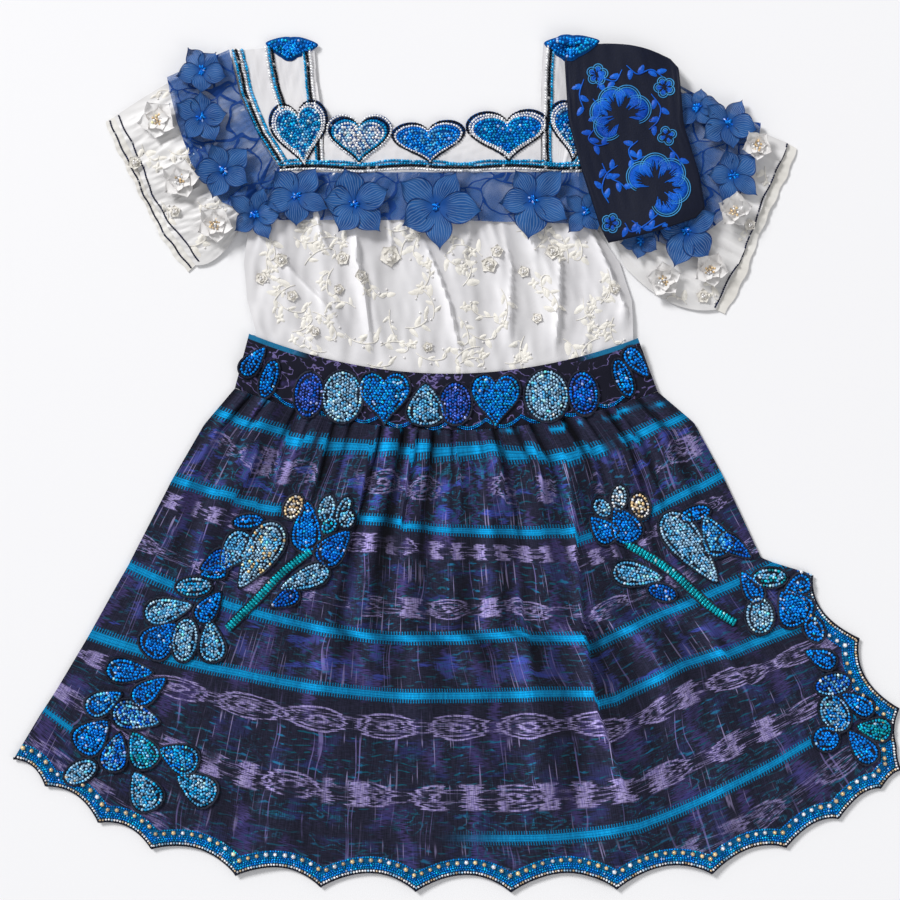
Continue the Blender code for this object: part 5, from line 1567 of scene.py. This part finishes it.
petal_organza = petal_material("petal_organza")
knot_chance = np.random.default_rng(3)
knots = []
for number, flower in enumerate(ORGANZA_BLOSSOMS):
    name = f"blossom_{number + 1}"
    tree = tree_of(nodes[name])
    patches = []
    for one in range(PETALS):
        size = flower.radius * knot_chance.uniform(0.86, 1.18)
        swung = flower._replace(turn=flower.turn + knot_chance.uniform(-9, 9))
        patches.append(petal(tree, swung, one, size, flower.radius * knot_chance.uniform(0.62, 0.92), 3.6))
    piece = shells(f"{name}_petals", patches, 0.3)
    dress_with(piece, petal_organza, "blue_organza", name)
    middle = rest_at(tree_of(piece), flower.x, flower.y, 2.0)
    for _ in range(16):
        angle, far = knot_chance.uniform(0, 2 * math.pi), knot_chance.uniform(0, 4.2)
        knots.append((*turned(flower.x, flower.y, far, 0, angle), middle + 1.6 - 0.25 * far, angle))
x, y, z, along = np.array(knots).T
beads("blossom_knots", x, y, z, 1.1, shades(["blue", "royal"], len(x), 0.3), glass, along, 1.9)

# The white flowers and the embroidery
# White satin flowers stand on the sleeves, with pearls and gold beads at their middles. Cream vines
# with leaves, small roses and pearls are sewn on the blouse and the sleeves.

LACE_BLOSSOMS = [
    Blossom(-271, 308, 19, 10),
    Blossom(-250, 254, 19, 40),
    Blossom(-219, 214, 18, 25),
    Blossom(267, 284, 15, 15),
    Blossom(247, 226, 17, 50),
    Blossom(226, 173, 17, 30),
    Blossom(184, 164, 17, 60),
]
Sprig = namedtuple("Sprig", "x y size turn bend")
BLOUSE_SPRIGS = [
    Sprig(-170, 196, 40, -95, 0.5), Sprig(-140, 176, 42, 40, -0.6), Sprig(-98, 196, 34, 160, 0.5),
    Sprig(-82, 172, 36, -70, 0.6), Sprig(-52, 180, 40, 75, -0.6), Sprig(-62, 140, 46, -80, 0.5),
    Sprig(-24, 128, 40, 100, 0.7), Sprig(-2, 132, 34, -60, -0.5), Sprig(22, 184, 40, 150, 0.6),
    Sprig(36, 158, 44, -75, -0.6), Sprig(66, 190, 40, 60, 0.6), Sprig(70, 160, 38, -40, -0.6),
    Sprig(98, 178, 36, 100, 0.4), Sprig(112, 150, 46, -70, 0.6), Sprig(132, 176, 36, -80, -0.4),
    Sprig(140, 132, 34, -95, 0.6), Sprig(60, 116, 44, -100, 0.5), Sprig(92, 112, 34, -45, -0.6),
    Sprig(-164, 146, 36, -30, 0.6), Sprig(-134, 136, 44, -35, -0.6), Sprig(-104, 118, 44, -25, 0.7),
    Sprig(-72, 104, 36, 10, -0.7), Sprig(-40, 100, 38, -20, 0.6), Sprig(-152, 118, 30, 20, 0.6),
    Sprig(20, 104, 36, -160, 0.6), Sprig(128, 112, 30, -150, 0.6), Sprig(-14, 188, 30, -40, 0.5),
    Sprig(-122, 214, 30, -160, 0.6), Sprig(2, 158, 30, 60, 0.5),
    Sprig(-176, 208, 34, -60, -0.5), Sprig(-150, 204, 30, -20, 0.6), Sprig(-112, 176, 34, -110, 0.6),
    Sprig(-146, 160, 34, -150, 0.5), Sprig(-92, 138, 34, 160, 0.6), Sprig(-118, 100, 30, 170, -0.5),
    Sprig(-50, 122, 30, 10, 0.6), Sprig(-36, 154, 32, 60, 0.6), Sprig(8, 118, 34, -20, 0.6),
    Sprig(34, 132, 34, 170, -0.6), Sprig(50, 208, 32, 20, 0.5), Sprig(78, 210, 32, -60, 0.6),
    Sprig(104, 206, 32, -70, -0.6), Sprig(84, 144, 34, 120, -0.6), Sprig(104, 128, 32, 30, 0.6),
    Sprig(-68, 212, 30, -10, 0.6), Sprig(-32, 208, 30, -120, 0.5), Sprig(0, 88, 30, 20, -0.6),
    Sprig(-84, 90, 30, -10, 0.5), Sprig(40, 90, 30, 10, 0.6), Sprig(126, 142, 30, 60, 0.5),
]
SLEEVE_SPRIGS = [
    Sprig(-286, 288, 28, -60, 0.6), Sprig(-262, 282, 26, -20, 0.6), Sprig(-270, 236, 26, -60, -0.6),
    Sprig(-236, 236, 26, -30, 0.6), Sprig(-246, 196, 26, 10, 0.6), Sprig(-222, 186, 22, -60, 0.4),
    Sprig(-252, 330, 26, 160, 0.5), Sprig(276, 268, 26, -80, 0.5), Sprig(258, 214, 28, -60, 0.6),
    Sprig(232, 168, 28, -100, 0.6), Sprig(206, 142, 26, 150, 0.6), Sprig(176, 158, 26, -150, 0.6),
    Sprig(216, 176, 22, -30, 0.6), Sprig(262, 192, 22, -110, 0.4), Sprig(222, 216, 24, -140, 0.5),
]
Rose = namedtuple("Rose", "x y radius")
ROSES = [
    Rose(-62, 186, 9), Rose(84, 190, 6.5), Rose(27, 178, 7), Rose(-160, 182, 6), Rose(-105, 184, 6),
    Rose(-178, 166, 5.5), Rose(-108, 156, 4.5), Rose(34, 190, 5.5), Rose(-150, 150, 5), Rose(-88, 168, 5),
    Rose(58, 172, 5), Rose(-130, 118, 4.5), Rose(-28, 104, 4.5), Rose(70, 130, 4.5), Rose(140, 156, 4.5),
    Rose(-292, 270, 6), Rose(-240, 270, 5), Rose(-256, 226, 5), Rose(250, 256, 6), Rose(262, 214, 5),
    Rose(220, 150, 6),
]
thread_chance = np.random.default_rng(17)


def leaf(tree, x, y, length, width, heading, rise=0.7, steps=8):
    """A satin-stitched leaf: a pointed oval whose middle stands up."""
    angle = np.linspace(0, 2 * np.pi, steps, endpoint=False)
    along = length / 2 * (1 + np.cos(angle))
    side = width / 2 * np.sin(angle) * (1 - 0.3 * np.cos(angle))
    px, py = turned(x, y, along, side, heading)
    base = rest(tree, px, py)
    middle = (*turned(x, y, length / 2, 0, heading), base.max() + rise)
    edge = np.stack([px, py, base + 0.1], -1)
    inner = np.stack([(px + middle[0]) / 2, (py + middle[1]) / 2, base + rise * 0.85], -1)
    faces = []
    for step in range(steps):
        after = (step + 1) % steps
        faces += [(step, after, after + steps, step + steps), (step + steps, after + steps, 2 * steps)]
    return np.concatenate([edge, inner, [middle]]), faces


def lies_on(tree, points):
    """Whether each point is over the cloth, and not past its edge."""
    starts = [Vector((x * MM, y * MM, 1)) for x, y in points[:, :2]]
    return np.array([tree.ray_cast(start, Vector((0, 0, -1)))[0] is not None for start in starts])


def sprig_parts(tree, sprig):
    """A vine that bends one way and curls at its end, with leaves on both sides, and its pearls."""
    count = 22
    share = np.linspace(0, 1, count)
    turn = math.radians(sprig.turn)
    heading = turn + sprig.bend * (share - 0.3) * 2.4 + sprig.bend * 2.6 * smooth_step((share - 0.7) / 0.3)
    step = sprig.size / count
    points = np.stack(
        [sprig.x + np.cumsum(np.cos(heading)) * step, sprig.y + np.cumsum(np.sin(heading)) * step], -1
    )
    over = lies_on(tree, points)
    count = count if over.all() else int(np.argmin(over)) - 1
    if count < 6:
        return [], []
    points = points[:count]
    made = [thread(tree, points, 0.55)]
    pearls = []
    for number, at in enumerate(range(3, count - 2, 4)):
        side = 1 if number % 2 else -1
        angle = heading[at] + side * thread_chance.uniform(0.6, 1.1)
        length = thread_chance.uniform(7.5, 14.5) * (1 - 0.3 * share[at])
        made.append(leaf(tree, *points[at], length, length * thread_chance.uniform(0.36, 0.55), angle))
        if thread_chance.random() < 0.45:
            pearls.append(turned(*points[at], length * 0.6, 0, angle - side * 1.3))
        if thread_chance.random() < 0.14:
            branch = np.linspace(0, 1, 9)
            bend = angle - side * 0.9 * branch * 1.6
            start = points[at]
            line = np.stack(
                [start[0] + np.cumsum(np.cos(bend)) * 1.5, start[1] + np.cumsum(np.sin(bend)) * 1.5], -1
            )
            made.append(thread(tree, line, 0.4))
            end = line[-1]
            for petal_turn in range(4):
                made.append(leaf(tree, *end, 5.4, 3.2, bend[-1] + 1.57 * petal_turn, 1.0))
    made = [part for part in made if lies_on(tree, part[0]).all()]
    pearls = [one for one in pearls if lies_on(tree, np.array([one])).all()]
    return made, pearls


embroidery = weave_material("cream_embroidery", (0.90, 0.870, 0.81), (0.80, 0.765, 0.70), 0.55, 1600.0, 0.2)
blouse_tree = tree_of(blouse_front)
sleeve_tree = tree_of(*sleeve_pieces)
sewn, pearl_places = [], []
for tree, sprigs in ((blouse_tree, BLOUSE_SPRIGS), (sleeve_tree, SLEEVE_SPRIGS)):
    for sprig in sprigs:
        made, pearls = sprig_parts(tree, sprig)
        sewn += made
        pearl_places += [(x, y, rest_at(tree, x, y)) for x, y in pearls]
embroidered = joined("cream_vines", sewn)
dress_with(embroidered, embroidery, "white_satin")
petal_cream = satin_material("cream_satin", (0.90, 0.865, 0.81), (0.80, 0.765, 0.70), 0.5, 900.0)
petal_white = satin_material("petal_satin", (0.90, 0.885, 0.88), (0.82, 0.80, 0.79), 0.45, 900.0)
rose_patches = []
for one in ROSES:
    tree = blouse_tree if abs(one.x) < 200 else sleeve_tree
    whole = Blossom(one.x, one.y, one.radius, 31 * one.x)
    for step in range(PETALS):
        rose_patches.append(petal(tree, whole, step, one.radius * 1.15, one.radius * 1.1, 1.3, 8, 6, 0.5))
        inner = whole._replace(turn=whole.turn + 36)
        rose_patches.append(petal(tree, inner, step, one.radius * 0.65, one.radius * 0.75, 1.5, 6, 5, 1.2))
roses = shells("satin_roses", rose_patches, 0.3)
dress_with(roses, petal_cream, "white_satin")

gold_places = []
for number, flower in enumerate(LACE_BLOSSOMS):
    name = f"lace_blossom_{number + 1}"
    tree = tree_of(nodes[name])
    size = flower.radius
    patches = [petal(tree, flower, one, size * 0.98, size * 0.86, 4.0, 10, 8) for one in range(PETALS)]
    small = flower._replace(turn=flower.turn + 36)
    patches += [petal(tree, small, one, size * 0.62, size * 0.5, 4.6, 8, 6, 1.8) for one in range(PETALS)]
    piece = shells(f"{name}_petals", patches, 0.4)
    dress_with(piece, petal_white, "white_voile", name)
    size = 2.4 * flower.radius * MM
    middle = rest_at(tree_of(piece), flower.x, flower.y, 2.0)
    for one in range(13):
        angle, far = one * 2.4, 1.45 * one**0.5
        gold_places.append((*turned(flower.x, flower.y, far, 0, angle), middle + 1.2 - 0.15 * far))
for one in ROSES:
    tree = blouse_tree if abs(one.x) < 200 else sleeve_tree
    middle = rest_at(tree, one.x, one.y) + one.radius * 0.5
    for number in range(3):
        pearl_places.append((*turned(one.x, one.y, 1.2, 0, 2.1 * number), middle))
pearl_tints = shades(["white"], len(pearl_places), 0.05) * (1.0, 0.97, 0.92)
tints = np.concatenate([pearl_tints, shades(["gold", "white", "tan"], len(gold_places), 0.2)])
x, y, z = np.array(pearl_places + gold_places).T
beads("pearls", x, y, z + 0.3, 1.25, tints, pearl, slot="white_satin")

# The cords of the yoke and the cuffs
# Rows of small beads: turquoise, black and white ones down the straps and along the seam under the
# bib, and navy ones along the cuffs, in two lines on the left cuff and in one on the right.

STRAP_ROWS = {
    0.08: ("turquoise", "black", "white", "turquoise"),
    0.46: ("white", "turquoise", "black"),
    0.90: ("turquoise", "black", "white"),
}
TRIM_ROWS = ("turquoise", "turquoise", "black", "white")
TRIM_HIGH = 270.5
ROW_GAP = 2.7
yoke_tree = tree_of(*yoke_pieces, blouse_front, *flounce_pieces)
cord_rows = []


def cord_row(points, colour):
    x, y, heading = spaced(points, 2.5)
    x, y = x + bead_chance.normal(0, 0.1, x.size), y + bead_chance.normal(0, 0.1, x.size)
    third = "light" if colour == "turquoise" else colour
    cord_rows.append((x, y, heading + 0.5, shades([colour, colour, third], len(x), 0.25)))


down = np.linspace(0, 1, 60)
for side, rows in STRAPS.items():
    width = np.array([math.hypot(row.far_x - row.near_x, row.far_y - row.near_y) for row in rows])
    width = np.interp(down, [row.share for row in rows], width)
    for rib, colours in STRAP_ROWS.items():
        for number, colour in enumerate(colours):
            place = rib + (
                number - (len(colours) - 1) / 2
            ) * ROW_GAP / width + 0.008 * np.sin(9 * down + 7 * rib)
            keep_to = down < (0.62 if rib == 0.46 else 0.97)
            line = np.stack(between(rows, place, down), -1)[keep_to]
            cord_row(line, colour)
across = np.linspace(0, 1, 200)
for number, colour in enumerate(TRIM_ROWS):
    x = -160 + across * 276
    wave = 1.2 * np.sin(2 * np.pi * 3 * across) + (0.7 * np.sin(40 * across) if number == 0 else 0)
    y = TRIM_HIGH + 0.6 + wave - number * ROW_GAP
    cord_row(np.stack([x, y], -1), colour)
x, y, along, tint = map(np.concatenate, zip(*cord_rows))
height = rest(yoke_tree, x, y, 1.0) + 0.5
cords = beads("yoke_cords", x, y, height, 1.42, tint, glass, along, 1.35)
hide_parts("neck_trim")

cuff_tree = tree_of(*sleeve_pieces, *cuff_pieces)
down = np.linspace(0.01, 0.99, 120)
wave = 0.09 * np.sin(12 * down) + 0.05 * np.sin(29 * down)
lines = [("left", -0.45 + wave), ("left", 0.55 + 0.5 * wave), ("right", -0.10 + 1.4 * wave)]
lines = [spaced(np.stack(cuff_place(SLEEVES[side], out, down), -1), 1.9) for side, out in lines]
x, y, along = map(np.concatenate, zip(*lines))
beads(
    "cuff_beads", x, y, rest(cuff_tree, x, y) + 0.4, 0.95, shades(["navy"], len(x), 0.3), glass,
    along, 1.3,
)

# The hearts on the neck
# Five beaded hearts on felt, each with a rim of white beads and a rim of black ones.

NECK_HEARTS = [
    Pad("heart", -143, 295, 57, 49, 8, "turquoise light silver turquoise"),
    Pad("heart", -90, 290, 43, 55, 0, "silver white silver white"),
    Pad("heart", -27, 288, 35, 62, 4, "bright light light bright"),
    Pad("heart", 44, 294, 43, 70, 3, "turquoise bright turquoise blue"),
    Pad("heart", 106, 298, 50, 50, -8, "blue turquoise silver"),
]
heart_felt = padded("heart_felt", NECK_HEARTS, tree_of(*yoke_pieces, blouse_front), 60)
dress_with(heart_felt, blue_felt, "blue_beads", "neck_hearts")
tree = tree_of(heart_felt)
heart_rows = []
RIMS = {0: ("white", "white", "black"), 1: ("turquoise", "black", "white"), 2: ("blue", "white", "black")}
for number, heart in enumerate(NECK_HEARTS):
    rims = RIMS.get(number, ("white", "white", "black"))
    for level, colour in enumerate(rims):
        line = np.stack(pad_outline(heart, 1.4 - 2.4 * (2 - level), 120), -1)
        x, y, _ = spaced(line, 2.45, closed=True)
        x, y = x + bead_chance.normal(0, 0.12, x.size), y + bead_chance.normal(0, 0.12, x.size)
        sizes = 1.36 * bead_chance.uniform(0.9, 1.08, x.size)
        heart_rows.append((x, y, sizes, shades([colour], len(x), 0.12 if colour != "black" else 0.3)))
    inner = heart._replace(length=heart.length - 11, width=heart.width - 11)
    x, y = filled(inner, 2.7, 0.2)
    sizes = 1.5 * bead_chance.uniform(0.82, 1.1, x.size)
    heart_rows.append((x, y, sizes, shades(heart.colours.split(), x.size)))
x, y, r, tint = map(np.concatenate, zip(*heart_rows))
beads("heart_beads", x, y, rest(tree, x, y) + 0.3 * r, r, tint, glass)

# The beadwork on the waistband
# A row of beaded ovals, petals and hearts, with a scalloped line of blue beads under them.

BAND_PADS = [
    Pad("leaf", -185, 91, 30, 13, 50, "blue bright"),
    Pad("oval", -171, 75, 34, 14, 72, "blue bright"),
    Pad("oval", -135, 61, 39, 25, 84, "violet violet royal"),
    Pad("oval", -105, 59, 45, 35, 88, "silver silver light"),
    Pad("heart", -67, 57, 46, 44, 0, "bright blue turquoise"),
    Pad("leaf", -30, 52, 36, 29, 90, "silver light light"),
    Pad("oval", -3, 53, 36, 27, 90, "violet royal violet"),
    Pad("heart", 33, 55, 46, 42, 0, "turquoise blue bright"),
    Pad("oval", 79, 60, 45, 38, 94, "silver silver light"),
    Pad("oval", 112, 62, 38, 25, 98, "royal violet blue"),
    Pad("oval", 148, 76, 34, 14, -68, "blue bright"),
    Pad("leaf", 160, 90, 30, 13, -50, "blue bright"),
]
band_tree = tree_of(band_front, skirt_front)
band_felt = padded("band_felt", BAND_PADS, band_tree)
dress_with(band_felt, felt, "blue_beads", "band_beads_left", "band_beads_middle", "band_beads_right")
bead_pads("band_pad_beads", BAND_PADS, band_felt)
lines = []
across = np.linspace(0.09, 0.93, 500)
x, y = band_place(across, np.ones_like(across))
arches = np.abs(np.sin(np.pi * (across - 0.09) / 0.84 * 10))
for lane in (0.0, 1.9):
    lines.append(spaced(np.stack([x, y + 9.5 - 7.5 * arches - lane], -1), 1.8))
x, y, _ = map(np.concatenate, zip(*lines))
beads(
    "band_line_beads", x, y, rest(band_tree, x, y) + 0.5, 0.9,
    shades(["blue", "turquoise", "bright"], len(x)), glass,
)

# The sash
# A long black satin sash, folded into a flat bundle of three layers, with blue embroidered flowers. Its
# near edge is its left one.

SASH = [
    Row(0.00, 98, 371, 190, 363, 9),
    Row(0.06, 95, 360, 197, 354, 7),
    Row(0.35, 98, 308, 201, 303),
    Row(0.65, 110, 262, 215, 258),
    Row(0.92, 126, 212, 220, 228),
    Row(1.00, 134, 197, 212, 219, -2),
]
SASH_LAYERS = 3
SASH_LAYER = 2.4
black_satin = Shader("black_satin", 0.6, Specular_IOR_Level=0.2)
place = black_satin.object_place()
black_satin = black_satin.finish(
    black_satin.tint(black_satin.noise(place, 500.0, 1.0), (0.002, 0.004, 0.014), (0.005, 0.008, 0.026)),
    black_satin.noise(place, 900.0, 1.0), 0.0004, 0.5,
)
ends = 0.5 - 0.5 * np.cos(np.pi * np.linspace(0, 1, 46))
u, v = grid(ends, ends)
sash_x, sash_y = between(SASH, u, v)
sash_top = on_solid("sash", sash_x, sash_y, 40)
layers = []
edge_far = np.minimum(np.minimum(u, 1 - u) * 100, np.minimum(v, 1 - v) * 155)
round_off = 1.1 - np.sqrt(np.clip(1 - (1 - np.clip(edge_far / 2.2, 0, 1)) ** 2, 0, 1)) * 1.1
for layer in range(SASH_LAYERS):
    shift = (0.9 * layer, -0.7 * layer)
    height = sash_top - SASH_LAYER * layer - round_off + 0.35 * wrinkles(u, v, 40, 8, 0.6) * (layer == 0)
    layers.append((sash_x + shift[0] * (1 - 2 * u), sash_y + shift[1] * (1 - 2 * v), height, u, v))
sash = shells("sash_satin", layers, 2.2)
dress_with(sash, black_satin, "black_satin", "sash")

SashFlower = namedtuple("SashFlower", "x y size turn petals spread")
SASH_FLOWERS = [
    SashFlower(145, 311, 29, 20, 5, 250), SashFlower(177, 247, 31, -60, 5, 260),
    SashFlower(124, 348, 10, 10, 5, 360), SashFlower(184, 336, 10, 40, 5, 360),
    SashFlower(136, 214, 9, 0, 5, 360), SashFlower(186, 292, 9, 20, 4, 360),
]
SASH_STEMS = [
    [(122, 300), (116, 290), (124, 284), (134, 286)],
    [(146, 352), (140, 342), (128, 344), (124, 336)],
    [(150, 356), (160, 348), (172, 352), (182, 346)],
    [(128, 268), (134, 256), (144, 250), (150, 244)],
    [(148, 214), (154, 206), (166, 212), (178, 222)],
    [(120, 326), (126, 318), (124, 308)],
    [(172, 330), (180, 318), (178, 306), (170, 298)],
    [(112, 344), (108, 330), (112, 316)],
    [(188, 282), (196, 272), (200, 258)],
    [(134, 232), (128, 244), (132, 258), (142, 266)],
    [(160, 288), (152, 280), (156, 270), (166, 274)],
    [(154, 216), (168, 208), (184, 214)],
]
sash_tree = tree_of(sash)
bright_thread = weave_material("blue_thread", (0.006, 0.14, 0.68), (0.003, 0.06, 0.42), 0.4, 900.0, 0.2)
pale_thread = weave_material("pale_thread", (0.06, 0.33, 0.66), (0.03, 0.20, 0.48), 0.4, 900.0, 0.2)
fills, outlines = [], []
for flower in SASH_FLOWERS:
    for one in range(flower.petals):
        heading = math.radians(flower.turn + flower.spread / flower.petals * one)
        centre = np.array(turned(flower.x, flower.y, 0.52 * flower.size, 0, heading))
        radius = flower.size * 0.44
        arc = heading + np.linspace(-1.75, 1.75, 26)
        arc = np.stack([np.cos(arc), np.sin(arc)], -1)
        outlines.append(thread(sash_tree, centre + radius * arc, 0.55))
        outlines.append(thread(sash_tree, centre + (radius - 1.9) * arc, 0.5))
        for angle in np.linspace(-1.6, 1.6, 46 if flower.size > 20 else 16):
            start = np.array(turned(*centre, radius - 2.6, 0, heading + angle))
            length = thread_chance.uniform(0.2, 0.95) * radius
            way = np.array([flower.x, flower.y]) - start
            way = way / np.linalg.norm(way)
            line = start + way * np.linspace(0, length, 4)[:, None]
            fills.append(thread(sash_tree, line, 0.5, 4))
for stem in SASH_STEMS:
    line = smooth_line(stem, 10)
    fills.append(thread(sash_tree, line, 0.7))
    for at in range(4, len(line) - 2, 7):
        heading = math.atan2(*(line[at + 1] - line[at])[::-1]) + (0.9 if at % 2 else -0.9)
        fills.append(leaf(sash_tree, *line[at], 9.5, 5, heading))
dress_with(joined("sash_fill_stitches", fills), bright_thread, "blue_beads")
dress_with(joined("sash_outline_stitches", outlines), pale_thread, "blue_beads")

# The brooches
# A small beaded spray at the top of each strap.

BROOCHES = {
    "left": [
        Pad("leaf", -160, 375, 24, 13, 168, "blue bright turquoise"),
        Pad("leaf", -143, 375, 27, 12, 6, "blue bright"),
        Pad("oval", -153, 371, 13, 13, 90, "bright blue turquoise"),
    ],
    "right": [
        Pad("leaf", 92, 375, 26, 14, 168, "blue bright"),
        Pad("leaf", 110, 375, 28, 13, 12, "bright turquoise"),
        Pad("oval", 100, 370, 14, 13, 90, "blue bright"),
    ],
}
for side, pads in BROOCHES.items():
    tree = tree_of(*yoke_pieces, sash)
    brooch_felt = padded(f"brooch_{side}_felt", pads, tree)
    dress_with(brooch_felt, blue_felt, "blue_beads", f"brooch_{side}")
    bead_pads(f"brooch_{side}_beads", pads, brooch_felt, 2.9, 1.45, False)

# The camera and the light
# The camera looks straight down, as the photograph does. A broad light from the upper left leaves
# short soft shadows at the lower right.

VIEW_X, VIEW_Y = -0.0081, 0.01125
camera_data = bpy.data.cameras.new("camera")
camera_data.lens = 85
camera_data.sensor_width = 36
camera = bpy.data.objects.new("camera", camera_data)
camera.location = (VIEW_X, VIEW_Y, 1.92)
bpy.context.scene.collection.objects.link(camera)
bpy.context.scene.camera = camera

floor_mesh = bpy.data.meshes.new("floor")
floor_mesh.from_pydata(
    [(-4, -4, -0.0004), (4, -4, -0.0004), (4, 4, -0.0004), (-4, 4, -0.0004)], [], [(0, 1, 2, 3)]
)
floor = link("floor", floor_mesh)
paper = Shader("white_paper", roughness=0.9)
clouds = paper.noise(paper.object_place(), 2.0, 2.0)
floor_mesh.materials.append(paper.finish(paper.tint(clouds, (0.915, 0.91, 0.925), (0.925, 0.92, 0.93))))

world = bpy.data.worlds.new("world")
bpy.context.scene.world = world
world.use_nodes = True
world.node_tree.nodes["Background"].inputs["Color"].default_value = (0.97, 0.98, 1.0, 1.0)
world.node_tree.nodes["Background"].inputs["Strength"].default_value = 0.44


def area_light(name, place, size, power, colour=(1, 1, 1)):
    data = bpy.data.lights.new(name, "AREA")
    data.size = size
    data.energy = power
    data.color = colour
    light = bpy.data.objects.new(name, data)
    light.location = place
    light.rotation_euler = (Vector((0, 0, 0)) - Vector(place)).to_track_quat("-Z", "Y").to_euler()
    bpy.context.scene.collection.objects.link(light)


area_light("key", (-6.9, 6.9, 8.0), 3.2, 1290)
area_light("fill", (2.2, -2.0, 2.4), 1.8, 18)
bpy.context.scene.view_settings.view_transform = "Standard"
